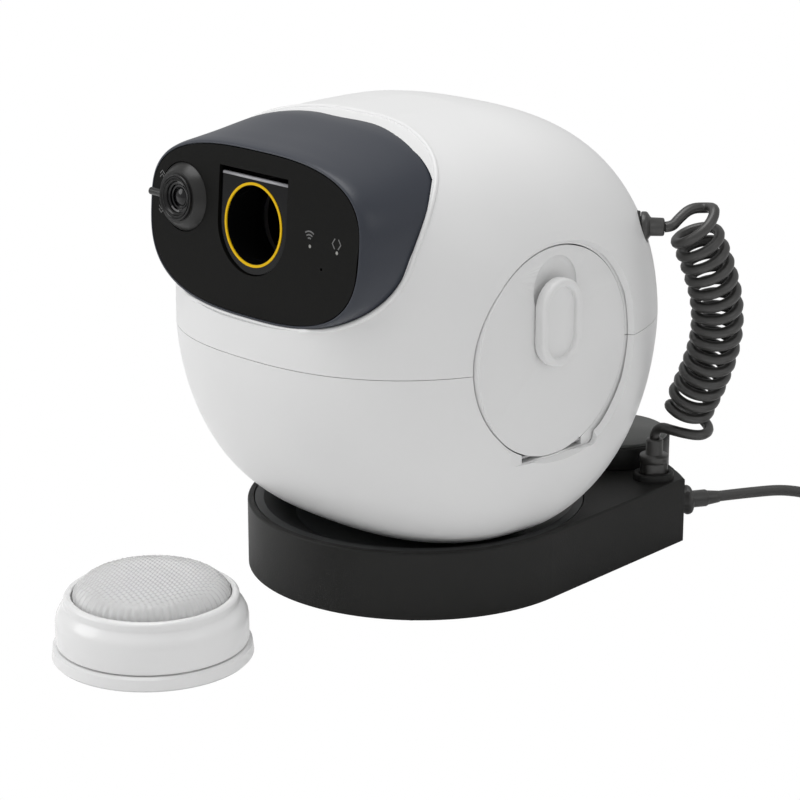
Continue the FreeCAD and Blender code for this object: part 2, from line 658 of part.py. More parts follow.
def make_shells():
    wall = dim.shell_wall
    top = dim.seam_height + dim.dome_height
    half_gap = dim.seam_gap / 2
    opening = in_head(snout_block(-dim.snout_gap, -40.0, 80.0))
    hole = door_drum(dim.door_radius + dim.door_gap, 60.0, 130.0)
    facet = Part.makeCone(dim.door_ring - 2.4, dim.door_ring + 2.3, 5.0,
                          Vector(dim.door_face - 0.4, dim.door_centre, dim.door_height),
                          Vector(1, 0, 0))
    socket_hole = head_radial(dim.socket_radius + 0.2, 90.0, 125.0)
    rod_hole = hinge_rod(dim.hinge_pin + 0.05)
    land = door_drum(dim.door_ring + 3.0, dim.door_face - 5.2, dim.door_face - 0.4)
    land = land.fuse(door_drum(dim.door_ring + 3.0, dim.door_face - 10.0, dim.door_face - 5.0)
                     .cut(door_drum(dim.tub_flange + 0.6, dim.door_face - 11.0, dim.door_face)))
    hinge_foot = dim.door_height - dim.hinge_drop
    hinge_room = Part.makeBox(12, 55.0, 7.5, Vector(dim.door_face - 0.4, dim.door_centre - 27.5,
                                                    hinge_foot - 3.0))
    hinge_room = hinge_room.makeFillet(3.0, [edge for edge in hinge_room.Edges
                                             if edge.BoundBox.ZMax < hinge_foot - 2.9
                                             and edge.BoundBox.XLength > 10])
    hinge_notch = Part.makeBox(6, 40.6, 6.5, Vector(dim.door_face - 5.3, dim.door_centre - 20.3,
                                                    hinge_foot - 2.5))
    cutters = [opening, hole, facet, socket_hole]

    def with_bosses(shell, low, high, inner):
        for spot in shell_boss_places():
            post = Part.makeCylinder(5.2, high - low, Vector(spot.x, spot.y, low))
            shell = shell.fuse(post.common(inner))
        for spot in shell_boss_places():
            shell = shell.cut(Part.makeCylinder(1.5, high - low + 40,
                                                Vector(spot.x, spot.y, low - 20)))
        return shell

    upper_out = head_half(UPPER, 0, dim.seam_height + half_gap, top)
    upper_in = head_half(UPPER, wall, dim.seam_height - 1, top)
    upper = with_bosses(upper_out.cut(upper_in), dim.seam_height + half_gap,
                        dim.seam_height + 22, head_half(UPPER, wall / 2, dim.seam_height, top))
    upper = upper.fuse(land.common(upper_out))
    for tool in cutters:
        upper = upper.cut(tool)
    node("upper_shell", HEAD, shape("upper_shell_solid", upper))

    lower_out = head_half(LOWER, 0, dim.seam_height - half_gap, dim.neck_height)
    lower_in = head_half(LOWER, wall, dim.seam_height + 1, dim.neck_height + dim.neck_floor)
    lower = with_bosses(lower_out.cut(lower_in), dim.seam_height - 12,
                        dim.seam_height - half_gap,
                        head_half(LOWER, wall / 2, dim.seam_height, dim.neck_height))
    floor = dim.neck_height + dim.neck_floor
    for spot in main_board_posts():
        lower = lower.fuse(Part.makeCylinder(3, 5, Vector(spot.x, spot.y, floor - 0.5)))
    lower = lower.fuse(land.common(lower_out))
    for tool in [hole, facet, hinge_room, hinge_notch, rod_hole]:
        lower = lower.cut(tool)
    node("lower_shell", HEAD, shape("lower_shell_solid", lower))

    screws = []
    for i, spot in enumerate(shell_boss_places()):
        shank = Part.makeCylinder(1.35, 26, Vector(spot.x, spot.y, dim.seam_height - 12))
        head = Part.makeCylinder(2.6, 2, Vector(spot.x, spot.y, dim.seam_height - 14))
        screws.append(shape("shell_screw_%d" % i, shank.fuse(head)))
    node("shell_screws", HEAD, *screws)


def main_board_posts():
    return [Vector(x, y, 0) for x in (-24, 24) for y in (-16, 12)]


def make_electronics():
    seat = "neck_height + neck_floor + 4.5"
    board = box("main_board_sheet", 60, 40, 1.6, (-30, -22, seat))
    chip = box("main_board_chip", 16, 16, 2.0, (-24, -8, "neck_height + neck_floor + 6.1"))
    node("main_board", HEAD, fuse("main_board_whole", board, chip))
    cup = cylinder("speaker_cup", 13, 9, (12, 0, "neck_height + neck_floor + 6.1"))
    cone_tip = cone("speaker_cone", 5, 11, 4, (12, 0, "neck_height + neck_floor + 11.2"))
    node("speaker", HEAD, cut("speaker_body", cup, cone_tip))


# ------------------------------------------------------------------ snout and face

def make_snout():
    wall = dim.snout_wall
    outer = snout_block(0, 0.0, dim.snout_depth)
    inner = snout_block(wall, -5.0, dim.snout_depth + 5)
    rebate = Part.Face(snout_curve(-1.0, dim.panel_inset - dim.panel_gap))
    rebate = rebate.extrude(Vector(0, 1.0 + dim.panel_thickness + 0.01, 0))
    slope = Part.makeBox(240, 200, 240, Vector(-120, 0, -120))
    slope.rotate(Vector(), Vector(1, 0, 0), -28.5)
    slope.translate(Vector(0, 37.5, 0))
    snout = outer.cut(inner).cut(rebate).cut(slope)
    node("snout_housing", SNOUT, shape("snout_solid", snout))

    panel = Part.Face(snout_curve(0.0, dim.panel_inset))
    panel = panel.extrude(Vector(0, dim.panel_thickness, 0))
    window = arch_prism(dim.arch_radius, dim.arch_top, -2.0, dim.panel_thickness + 4)
    eye = Part.makeSphere(dim.eye_radius + 0.45, eye_centre())
    panel = panel.cut(window).cut(eye)
    for x, z, radius in light_holes():
        panel = panel.cut(Part.makeCylinder(radius, 12, Vector(x, -4, z), Vector(0, 1, 0)))
    node("face_panel", SNOUT, shape("panel_solid", panel))
    lights = [cylinder("light_%d" % i, radius - 0.1, "panel_thickness - 0.1", (x, 0.1, z), "y")
              for i, (x, z, radius) in enumerate(light_holes()[:2])]
    node("status_lights", SNOUT, *lights)


def light_holes():
    """Two status lights and the microphone hole: across, up, radius."""
    return [(39.0, -2.8, 0.9), (56.4, -2.8, 0.9), (47.1, -11.8, 0.7)]


def eye_centre():
    return Vector(-dim.eye_offset, dim.eye_depth, dim.eye_height)


def arch_prism(radius, top, front, back):
    """A window with a flat top and a half-round bottom, centred on the launch bore."""
    curves = [Part.Arc(Vector(radius, front, 0), Vector(0, front, -radius),
                       Vector(-radius, front, 0)).toShape()]
    corners = [Vector(-radius, front, 0), Vector(-radius, front, top),
               Vector(radius, front, top), Vector(radius, front, 0)]
    curves += [Part.makeLine(a, b) for a, b in zip(corners, corners[1:])]
    return Part.Face(Part.Wire(curves)).extrude(Vector(0, back - front, 0))


def make_snout_frame():
    """The inner frame that carries the nozzle, the eyeball and the barrel."""
    deep = dim.frame_depth
    outline = snout_curve(deep, dim.snout_wall + 1.6)
    plate = Part.Face(outline).extrude(Vector(0, dim.frame_thickness, 0))
    plate = plate.cut(Part.makeCylinder(dim.barrel_bore, 40, Vector(0, 0, 0), Vector(0, 1, 0)))
    plate = plate.cut(Part.makeSphere(dim.eye_radius + 1.0, eye_centre()))
    nozzle_ears = [Vector(sign * (dim.nozzle_tube + 2.5), dim.nozzle_pivot, 0) for sign in (-1, 1)]
    eye_ears = [eye_centre() + Vector(sign * (dim.eye_radius + 2.4), 0, 0) for sign in (-1, 1)]
    for spot, pin in [(s, dim.pin_radius) for s in nozzle_ears] + [(s, dim.eye_pin) for s in eye_ears]:
        reach = pin + 2.0
        ear = Part.makeBox(3.0, deep - spot.y + 0.5, 2 * reach,
                           Vector(spot.x - 1.5, spot.y, spot.z - reach))
        knuckle = Part.makeCylinder(reach, 3.0, spot - Vector(1.5, 0, 0), Vector(1, 0, 0))
        hole = Part.makeCylinder(pin + 0.2, 6.0, spot - Vector(3, 0, 0), Vector(1, 0, 0))
        plate = plate.fuse(ear).fuse(knuckle).cut(hole)
    node("snout_frame", SNOUT, shape("frame_solid", plate.removeSplitter()))


def make_nozzle():
    front = dim.nozzle_recess
    back = front + dim.nozzle_plate
    plate = arch_prism(dim.arch_radius - dim.nozzle_gap, dim.nozzle_top, front, back)
    length = dim.frame_depth - 2.5 - back
    tube = Part.makeCylinder(dim.nozzle_tube, length, Vector(0, back, 0), Vector(0, 1, 0))
    bore = Part.makeCylinder(dim.nozzle_bore, length + 10, Vector(0, front - 2, 0),
                             Vector(0, 1, 0))
    groove = Part.makeCylinder(dim.ring_outer + 0.05, 0.5, Vector(0, front - 0.2, 0),
                               Vector(0, 1, 0))
    nozzle = plate.fuse(tube)
    for sign in (-1, 1):
        start = min(sign * dim.nozzle_bore, sign * (dim.nozzle_tube + 4.0))
        nozzle = nozzle.fuse(Part.makeCylinder(dim.pin_radius,
                                               dim.nozzle_tube + 4.0 - dim.nozzle_bore,
                                               Vector(start, dim.nozzle_pivot, 0),
                                               Vector(1, 0, 0)))
    node("nozzle", SNOUT, shape("nozzle_solid", nozzle.cut(bore).cut(groove)))
    glow = ring("glow_ring", "ring_outer", "nozzle_bore + 0.2", "ring_height + 0.28",
                (0, "nozzle_recess - ring_height", 0), "y")
    node("light_ring", SNOUT, glow)


def make_barrel():
    start = dim.frame_depth + dim.frame_thickness
    outer = dim.barrel_bore + dim.barrel_wall
    tube = Part.makeCylinder(outer, dim.barrel_length, Vector(0, start, 0), Vector(0, 1, 0))
    room = Part.makeCylinder(dim.barrel_bore, dim.barrel_length - dim.barrel_cap,
                             Vector(0, start, 0), Vector(0, 1, 0))
    rod_hole = Part.makeCylinder(dim.rod_radius + 0.4, dim.barrel_length + 10,
                                 Vector(0, start, 0), Vector(0, 1, 0))
    pad_block = Part.makeBox(8, 46, 20, Vector(-outer - 3, 60, -10))
    barrel = tube.fuse(pad_block).cut(room).cut(rod_hole)
    mouth = outlet_drum(dim.outlet_radius)
    mouth.Placement = FACE.inverse().multiply(mouth.Placement)
    barrel = barrel.cut(mouth)
    node("launch_barrel", SNOUT, shape("barrel_solid", barrel))
    motor = box("toss_motor_box", 18, 40, 20, (-outer - 21, 63, -10))
    crank = cylinder("toss_motor_nose", 6, 6, (-outer - 12, 103, 0), "y")
    node("toss_motor", SNOUT, fuse("toss_motor_whole", motor, crank))

    deep = dim.piston_depth
    piston = cylinder("piston_disc", "barrel_bore - piston_gap", "piston_height",
                      (0, deep, 0), "y")
    rod = cylinder("piston_rod", "rod_radius", 46, (0, deep, 0), "y")
    node("plunger", SNOUT, fuse("plunger_whole", piston, rod))
    spring_start = deep + dim.piston_height + dim.fit_gap
    spring_end = start + dim.barrel_length - dim.barrel_cap - dim.fit_gap
    # One plain sleeve stands in for the coil of each spring.
    sleeve = ring("toss_spring_sleeve", 12.0, "12 - spring_wire", spring_end - spring_start,
                  (0, spring_start, 0), "y")
    node("toss_spring", SNOUT, sleeve)


def make_camera_eye():
    centre = eye_centre()
    ball = Part.makeSphere(dim.eye_radius, centre)
    flat_front = Part.makeBox(60, 40, 60, Vector(centre.x - 30, -dim.eye_proud - 40,
                                                 centre.z - 30))
    flat_back = Part.makeBox(60, 40, 60, Vector(centre.x - 30, centre.y + 11, centre.z - 30))
    bore = Part.makeCylinder(dim.lens_bore, 12, Vector(centre.x, -dim.eye_proud - 1, centre.z),
                             Vector(0, 1, 0))
    ball = ball.cut(flat_front).cut(flat_back).cut(bore)
    for sign in (-1, 1):
        start = centre.x + (dim.eye_radius - 3 if sign > 0 else -dim.eye_radius - 3.6)
        ball = ball.fuse(Part.makeCylinder(dim.eye_pin, 6.6, Vector(start, centre.y, centre.z),
                                           Vector(1, 0, 0)))
    node("camera_ball", SNOUT, shape("ball_solid", ball.cut(bore)))
    front = "-(eye_proud + 1.4)"
    outer = cylinder("lens_ring_outer", "lens_ring", 1.4, ("-eye_offset", front, "eye_height"), "y")
    sleeve = cylinder("lens_ring_sleeve", "lens_bore - 0.1", 9.0,
                      ("-eye_offset", front, "eye_height"), "y")
    inside = cylinder("lens_ring_inside", "lens_bore - 1.2", 20.0,
                      ("-eye_offset", "-(eye_proud + 3)", "eye_height"), "y")
    funnel = cone("lens_ring_funnel", "lens_radius + 0.6", "lens_bore - 1.2", 1.6,
                  ("-eye_offset", "-(eye_proud + 1.41)", "eye_height"), "y")
    node("lens_ring", SNOUT, cut("lens_ring_whole", fuse("lens_ring_block", outer, sleeve),
                                 inside, funnel))
    lens = Part.makeCylinder(dim.lens_bore - 1.3, 5, Vector(centre.x, -dim.eye_proud + 0.6,
                                                            centre.z), Vector(0, 1, 0))
    bulge = Part.makeSphere(11.0, Vector(centre.x, -dim.eye_proud + 10.6, centre.z))
    node("camera_lens", SNOUT, shape("lens_solid", lens.common(bulge)))
    pin = cylinder("lever_pin", "lever_radius", "lever_length",
                   ("-eye_offset - lens_ring - lever_length + 0.6", "-eye_proud + 0.6",
                    "eye_height"), "x")
    web = cut("lever_root", pin, cylinder("lever_clear", "lens_ring + 0.05", 20,
                                          ("-eye_offset", "-eye_proud - 8", "eye_height"), "y"))
    node("tilt_lever", SNOUT, web)


# ------------------------------------------------------------------ hopper, wheel and door

def outlet_drum(radius):
    """The treat outlet: along -X from the tub's floor, near the wheel's top."""
    spot = Vector(dim.tub_floor + dim.tub_wall + 1, dim.door_centre,
                  dim.door_height + dim.outlet_rise)
    return Part.makeCylinder(radius, 34.0, spot, Vector(-1, 0, 0))


def make_hopper():
    mouth = dim.door_face - dim.door_thickness - dim.seal_height - 0.3
    floor = dim.tub_floor
    outer = dim.tub_bore + dim.tub_wall
    tub = door_drum(outer, floor, mouth).fuse(door_drum(dim.tub_flange, mouth - 4.0, mouth))
    tub = tub.cut(door_drum(dim.tub_bore, floor + dim.tub_wall, mouth + 1))
    tub = tub.cut(door_drum(3.2, floor - 1, floor + dim.tub_wall + 1))
    tub = tub.cut(outlet_drum(dim.outlet_radius))
    notch = Part.makeBox(10, dim.tongue_width + 3, 12,
                         Vector(mouth - 6, dim.door_centre - dim.tongue_width / 2 - 1.5,
                                dim.door_height + dim.tub_bore - 0.5))
    tub = tub.cut(notch)
    room = head_solid(dim.shell_wall + 0.3, dim.neck_height + dim.neck_floor + 1)
    tub = tub.common(room)
    node("hopper_tub", HEAD, shape("tub_solid", tub))

    chute = outlet_drum(dim.outlet_radius + 1.5)
    chute = chute.cut(door_drum(outer, floor, mouth)).cut(outlet_drum(dim.outlet_radius))
    barrel = Part.makeCylinder(dim.barrel_bore + dim.barrel_wall, 200, Vector(), Vector(0, 1, 0))
    chute = chute.cut(in_head(barrel))
    node("feed_chute", HEAD, shape("chute_solid", biggest(chute)))

    low = floor + dim.tub_wall + 0.5
    wheel = door_drum(dim.wheel_radius, low, low + 1.6)
    wheel = wheel.fuse(door_drum(dim.wheel_hub, low, low + dim.wheel_depth + 2))
    for paddle in range(int(dim.wheel_paddles)):
        blade = Part.makeBox(dim.wheel_depth, 2.0, dim.wheel_radius - dim.wheel_hub + 2.0,
                             Vector(low, -1.0, dim.wheel_hub - 2.0))
        blade.rotate(Vector(), Vector(1, 0, 0), 360.0 * paddle / dim.wheel_paddles + 30)
        blade.translate(Vector(0, dim.door_centre, dim.door_height))
        wheel = wheel.fuse(blade)
    window = Part.makeCylinder(dim.outlet_radius - 1, 4, Vector(low - 1, 0, dim.outlet_rise),
                               Vector(1, 0, 0))
    for paddle in range(int(dim.wheel_paddles)):
        gap = window.copy()
        gap.rotate(Vector(), Vector(1, 0, 0), 360.0 * paddle / dim.wheel_paddles)
        gap.translate(Vector(0, dim.door_centre, dim.door_height))
        wheel = wheel.cut(gap)
    wheel = wheel.cut(door_drum(2.2, low - 1, low + dim.wheel_depth))
    node("treat_wheel", HEAD, shape("wheel_solid", wheel))
    can = door_drum(dim.wheel_motor, floor - 26.0, floor)
    node("wheel_motor", HEAD, shape("wheel_motor_solid",
                                    can.fuse(door_drum(2.0, floor - 1, low + 12.0))))


def biggest(solid):
    return max(solid.Solids, key=lambda piece: piece.Volume)


def make_door():
    face = dim.door_face
    inside = face - dim.door_thickness
    middle = Vector(0, dim.door_centre, 0)
    door = door_drum(dim.door_radius, inside, face)
    door = door.cut(door_drum(dim.door_radius - 5.0, inside - 1, face - 2.2)
                    .cut(hinge_block()))
    grip_top = dim.grip_centre + dim.grip_length / 2
    scoop = Part.makeSphere(1.0)
    scoop = stretched(scoop, 3.6, dim.grip_width / 2 + 1.0, 15.0)
    scoop.translate(Vector(face, dim.door_centre, grip_top - 5.0))
    lining = Part.makeSphere(1.0)
    lining = stretched(lining, 5.4, dim.grip_width / 2 + 3.0, 17.0)
    lining.translate(Vector(face, dim.door_centre, grip_top - 5.0))
    shell_room = door_drum(dim.door_radius - 4.0, inside, face)
    door = door.fuse(lining.common(shell_room)).cut(scoop)
    slot_low = dim.grip_centre - 8.0
    stem_slot = Part.makeBox(20, 6.4, 17.0, Vector(face - 10, dim.door_centre - 3.2, slot_low))
    latch_room = Part.makeBox(3.0, dim.tongue_width + 1.4, 40,
                              Vector(inside - 0.01, dim.door_centre - dim.tongue_width / 2 - 0.7,
                                     dim.door_height + dim.door_radius - 5.5))
    door = door.cut(stem_slot).cut(latch_room).cut(hinge_rod(dim.hinge_pin + 0.08))
    node("hopper_door", HEAD, shape("door_solid", door))
    node("door_pin", HEAD, shape("door_pin_solid", hinge_rod(dim.hinge_pin)))
    seal = door_drum(dim.tub_bore + 2.0, inside - dim.seal_height, inside)
    seal = seal.cut(door_drum(dim.tub_bore - 0.8, inside - 2, inside + 1))
    seal = seal.cut(Part.makeBox(10, dim.tongue_width + 3, 30,
                                 middle + Vector(inside - 5, -dim.tongue_width / 2 - 1.5,
                                                 dim.door_height + dim.tub_bore - 6)))
    node("door_seal", HEAD, shape("seal_solid", seal))

    cap = slot("grip_block", "grip_length", "grip_width", "grip_height",
               (face + 0.3, dim.door_centre, dim.grip_centre), upright=True)
    tray = slot("grip_tray", "grip_length - 8", "grip_width - 8", "grip_height",
                (face + 3.1, dim.door_centre, dim.grip_centre), upright=True)
    grip = rounded_rims(cut("grip_cut", cap, tray), face + 0.3 + dim.grip_height, 1.6)
    back = face - dim.door_thickness - 3.5
    stem = box("latch_stem", face + 0.4 - back, 5.6, 12.4,
               (back, dim.door_centre - 2.8, slot_low + 4.0))
    tongue_top = dim.door_height + dim.door_radius - 0.3
    tongue = box("latch_tongue", 2.0, dim.tongue_width, tongue_top - slot_low - 4.0,
                 (back, dim.door_centre - dim.tongue_width / 2, slot_low + 4.0))
    nose = box("latch_nose", 5.2, dim.tongue_width, 1.8,
               (back, dim.door_centre - dim.tongue_width / 2, tongue_top - 1.8))
    node("door_latch", HEAD, fuse("latch_whole", grip, stem, tongue, nose))


def rounded_rims(block, height, radius):
    """Round every edge that lies in the plane x = height."""
    doc.recompute()
    rims = [(number, radius, radius) for number, edge in enumerate(block.Shape.Edges, start=1)
            if all(abs(vertex.X - height) < 1e-4 for vertex in edge.Vertexes)]
    rounded = doc.addObject("Part::Fillet", block.Name + "_round")
    rounded.Base = block
    rounded.Edges = rims
    return rounded


def hinge_block():
    """The thick bar at the door's foot that the hinge pin runs through."""
    low = dim.door_height - dim.door_radius
    return Part.makeBox(12, dim.hinge_width, 7.0,
                        Vector(dim.door_face - 12, dim.door_centre - dim.hinge_width / 2, low))


def stretched(solid, half_x, half_y, half_z):
    matrix = Matrix()
    matrix.A11 = half_x
    matrix.A22 = half_y
    matrix.A33 = half_z
    return solid.transformGeometry(matrix)


# ------------------------------------------------------------------ cords

# Distance of the end of the head's cord plug from the turning axis.
PLUG_END = 117.4


def make_head_cord_fittings():
    start = 96.0
    sleeve = head_radial(dim.socket_radius, start, 105.9)
    bore = head_radial(5.3, start + 3.0, 130.0)
    node("head_socket", HEAD, shape("head_socket_solid", sleeve.cut(bore)))
    nose = head_radial(5.0, start + 3.4, 106.4)
    collar = head_radial(7.25, 106.1, 110.9)
    relief = head_radial(4.45, 110.9, PLUG_END)
    node("head_cord_plug", HEAD, shape("head_plug_solid", nose.fuse(collar).fuse(relief)))


def route_path(points):
    """Straight runs joined by tangent arcs, as large as the shorter run allows."""
    edges = []
    place_now = points[0]
    for before, corner, after in zip(points, points[1:], points[2:]):
        arriving = (corner - before).normalize()
        leaving = (after - corner).normalize()
        turn = arriving.getAngle(leaving)
        shorter = min(before.distanceToPoint(corner), corner.distanceToPoint(after))
        set_back = 0.45 * shorter
        radius = set_back / math.tan(turn / 2)
        start = corner - arriving * set_back
        end = corner + leaving * set_back
        inward = (leaving - arriving).normalize()
        centre = corner + inward * (radius / math.cos(turn / 2))
        middle = centre + (corner - centre).normalize() * radius
        edges.append(Part.makeLine(place_now, start))
        edges.append(Part.Arc(start, middle, end).toShape())
        place_now = end
        print("cord arc radius %.1f" % radius)
    edges.append(Part.makeLine(place_now, points[-1]))
    return Part.Wire(edges)


def tube(points, diameter):
    path = route_path(points)
    direction = points[1] - points[0]
    section = Part.Wire(Part.makeCircle(diameter / 2, points[0], direction))
    solid = path.makePipeShell([section], True, True)
    expected = math.pi * diameter ** 2 / 4 * path.Length
    print("cord tube volume %.1f of %.1f" % (solid.Volume, expected))
    return solid


# Axis of the curly cord from the head's plug down to the base's plug.
CURLY_ROUTE = [Vector(78.2, 105.8, 181.5), Vector(79.2, 114.8, 158.0), Vector(76.6, 125.2, 126.5),
               Vector(67.1, 126.8, 96.0), Vector(52.0, 124.4, 69.0)]
# The cord from the base plug's sleeve into the curly part.
LEAD_ROUTE = [Vector(43.5, 112.8, 56.0), Vector(43.5, 112.8, 64.0), Vector(51.0, 123.0, 72.0)]
# The power cord from its plug to the put-away coil on the floor.
POWER_ROUTE = [Vector(42.6, 148.5, 17.5), Vector(50.2, 170.0, 17.6), Vector(59.7, 189.6, 16.0),
               Vector(72.1, 207.2, 10.5), Vector(86.6, 222.9, 4.4), Vector(103.6, 236.9, 2.85)]
COIL_CENTRE = Vector(122.9, 213.2, 0)
# The cord's last stretch, from the coil to its connector.
TAIL_ROUTE = [Vector(152.2, 236.4, 3.4), Vector(163.5, 222.5, 2.85), Vector(170.3, 211.2, 2.85)]


def make_cords():
    curly = tube(CURLY_ROUTE, dim.curly_outside)
    node("curly_cord", ROOT, shape("curly_cord_solid", curly))
    lead = tube(LEAD_ROUTE, dim.curly_cord).cut(curly)
    node("curly_cord_lead", ROOT, shape("curly_lead_solid", biggest(lead)))
    entry = head_radial(dim.curly_cord / 2, PLUG_END, PLUG_END + 12.0)
    entry.Placement = HEAD.multiply(entry.Placement)
    node("curly_cord_entry", ROOT, shape("curly_entry_solid", biggest(entry.cut(curly))))
    coil = Part.makeTorus(dim.coil_radius, dim.coil_section,
                          COIL_CENTRE + Vector(0, 0, dim.coil_section))
    node("power_cord_coil", ROOT, shape("power_coil_solid", coil))
    run = tube(POWER_ROUTE, dim.power_cord).cut(coil)
    node("power_cord", ROOT, shape("power_cord_solid", biggest(run)))
    tail = tube(TAIL_ROUTE, dim.power_cord).cut(coil)
    node("power_cord_tail", ROOT, shape("power_tail_solid", biggest(tail)))
    make_power_connector()


def make_power_connector():
    """A flat moulded connector on the far end of the power cord, lying on the floor."""
    end = TAIL_ROUTE[-1]
    heading = (TAIL_ROUTE[-1] - TAIL_ROUTE[-2]).normalize()
    frame = Placement(Vector(end.x, end.y, 0), Rotation(Vector(0, -1, 0), heading))
    grip = box("connector_grip", 16, 26, 8, (-8, -32, 0))
    relief = cone("connector_relief", 3.9, 3.2, 6, (0, -6, 4), "y")
    relief.setExpression("Placement.Base.y", "-6")
    nose = box("connector_nose", 12, 14, 4.6, (-6, -46, 1.7))
    node("power_connector", frame, fuse("connector_whole", grip, relief, nose))


# ------------------------------------------------------------------ push button

def make_push_button():
    foot = dim.foot_height
    flange_top = foot + dim.flange_height
    case_top = dim.case_height
    rim = dim.case_radius - dim.case_wall
    band, collar = dim.case_radius, dim.case_collar
    throat = rim - 3.2
    wall_profile = [(rim, flange_top + 0.3), (band - 0.8, flange_top + 0.3), (band, flange_top + 1.1),
                    (band, case_top - 12.2), (band - 0.5, case_top - 9.5),
                    (band - 1.8, case_top - 6.9), (collar + 0.8, case_top - 5.1),
                    (collar, case_top - 4.1), (collar, case_top - 1.1), (collar - 1.2, case_top),
                    (dim.dome_radius + 0.5, case_top), (dim.dome_radius + 0.5, case_top - 2.0),
                    (throat, case_top - 3.6), (throat, case_top - 8.0), (rim, case_top - 12.0)]
    node("button_case", BUTTON, shape("button_case_solid", revolve(wall_profile)))
    flange_profile = [(0, foot), (dim.flange_radius - 1, foot), (dim.flange_radius, foot + 1),
                      (dim.flange_radius - 0.6, flange_top - 1),
                      (dim.flange_radius - 1.8, flange_top), (rim - 0.3, flange_top),
                      (rim - 0.3, flange_top - 2.5), (0, flange_top - 2.5)]
    flange = revolve(flange_profile)
    post = Part.makeCylinder(5.0, 8.0, Vector(0, 0, flange_top - 2.6))
    node("button_base", BUTTON, shape("button_base_solid", flange.fuse(post)))
    feet = [cylinder("button_foot_%d" % i, 7.0, "foot_height",
                     (34 * math.cos(math.radians(a)), 34 * math.sin(math.radians(a)), 0))
            for i, a in enumerate((-90, 30, 150))]
    node("button_feet", BUTTON, *feet)

    skirt_low = case_top - 5.4
    dome_top = case_top + dim.dome_rise
    skirt = throat - 0.5
    thick = dim.dome_wall
    dome_profile = [(0, dome_top), (dim.dome_radius - 6.0, dome_top - 0.9),
                    (dim.dome_radius - 1.6, dome_top - 3.0), (dim.dome_radius, dome_top - 6.0),
                    (dim.dome_radius, case_top - 3.9), (skirt, case_top - 3.9),
                    (skirt, skirt_low), (dim.dome_radius - thick, skirt_low),
                    (dim.dome_radius - thick, dome_top - 7.0),
                    (dim.dome_radius - 7.0, dome_top - 0.9 - thick), (0, dome_top - thick)]
    dome = revolve(dome_profile)
    spring_low = flange_top + 5.4
    guide = revolve([(5.4, dome_top - thick - 0.2), (5.4, spring_low + 1.6),
                     (7.0, spring_low + 1.6), (7.0, dome_top - thick - 0.2)])
    node("button_dome", BUTTON, shape("button_dome_solid", dome.fuse(guide)))
    sleeve = ring("button_spring_sleeve", 10.0, "10 - spring_wire",
                  dome_top - thick - 0.5 - (flange_top - 2.2), (0, 0, flange_top - 2.2))
    node("button_spring", BUTTON, sleeve)
    board = box("button_board_sheet", 22, 14, 1.6, (12, -7, flange_top - 2.5))
    switch = box("button_board_switch", 6, 6, 4, (16, -3, flange_top - 0.9))
    node("button_board", BUTTON, fuse("button_board_whole", board, switch))


make_base_housing()
make_base_plate()
make_base_feet()
make_tower()
make_cord_socket()
make_base_cord_plug()
make_power_inlet()
make_turntable()
make_yaw_drive()
make_shells()
make_electronics()
make_snout()
make_snout_frame()
make_nozzle()
make_barrel()
make_camera_eye()
make_hopper()
make_door()
make_head_cord_fittings()
make_cords()
make_push_button()
doc.recompute()

for item in doc.Objects:
    if "Invalid" in item.State or "Error" in item.State:
        raise RuntimeError("%s did not build: %s" % (item.Label, item.State))
for part in nodes:
    if part.Shape.isNull() or not part.Shape.isValid() or not part.Shape.Solids:
        raise RuntimeError("%s is not a valid solid" % part.Label)
os.makedirs("parts", exist_ok=True)
for part in nodes:
    part.Shape.exportStep(os.path.join("parts", part.Label + ".step"))
print("%d sub-parts written" % len(nodes))
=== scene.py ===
import math

import bmesh
import bpy
from mathutils import Matrix, Vector


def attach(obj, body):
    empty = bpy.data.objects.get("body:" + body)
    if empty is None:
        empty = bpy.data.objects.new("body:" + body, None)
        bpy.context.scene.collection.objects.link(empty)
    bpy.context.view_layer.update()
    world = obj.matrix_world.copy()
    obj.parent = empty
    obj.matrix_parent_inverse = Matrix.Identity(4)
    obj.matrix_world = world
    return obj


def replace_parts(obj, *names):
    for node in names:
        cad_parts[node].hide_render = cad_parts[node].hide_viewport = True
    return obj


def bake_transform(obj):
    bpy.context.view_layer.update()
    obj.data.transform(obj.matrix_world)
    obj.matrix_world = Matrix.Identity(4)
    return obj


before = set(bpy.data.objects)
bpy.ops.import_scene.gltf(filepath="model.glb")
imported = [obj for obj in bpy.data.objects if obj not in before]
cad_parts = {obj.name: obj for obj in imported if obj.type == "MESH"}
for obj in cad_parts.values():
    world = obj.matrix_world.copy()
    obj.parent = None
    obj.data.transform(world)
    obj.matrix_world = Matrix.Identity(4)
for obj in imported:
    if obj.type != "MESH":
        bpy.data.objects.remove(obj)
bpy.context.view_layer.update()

MM = 0.001


# ---------------------------------------------------------------- frames of the head and face

HEAD = Matrix.Rotation(math.radians(12.5), 4, "Z")
# The face plane: x across, y back into the head, z up along the face.
FACE_PLACE = Matrix.Translation((0, -107.6, 189.9))
FACE_TILT = Matrix.Rotation(math.radians(-4.5), 4, "X")
FACE_IN_HEAD = FACE_PLACE @ FACE_TILT
FACE = HEAD @ FACE_PLACE @ FACE_TILT


def in_metres(matrix, point):
    """A point in millimetres in a frame, as the scene's point in metres."""
    return (matrix @ Vector(point)) * MM


def round_turn(steps):
    """Evenly spaced angles once round."""
    return [2 * math.pi * k / steps for k in range(steps)]


# ---------------------------------------------------------------- camera

CAMERA_AZIMUTH, CAMERA_ELEVATION = 57.9, 17.39
CAMERA_DISTANCE = 1.3
# The height that the camera looks at, and how far it stands to the left of the origin.
CAMERA_HEIGHT, CAMERA_LEFT = 0.08349, 0.0094
SENSOR_WIDTH = 36
# The focal length and the frame's width in pixels.
FOCAL_PIXELS, IMAGE_PIXELS = 2645, 800


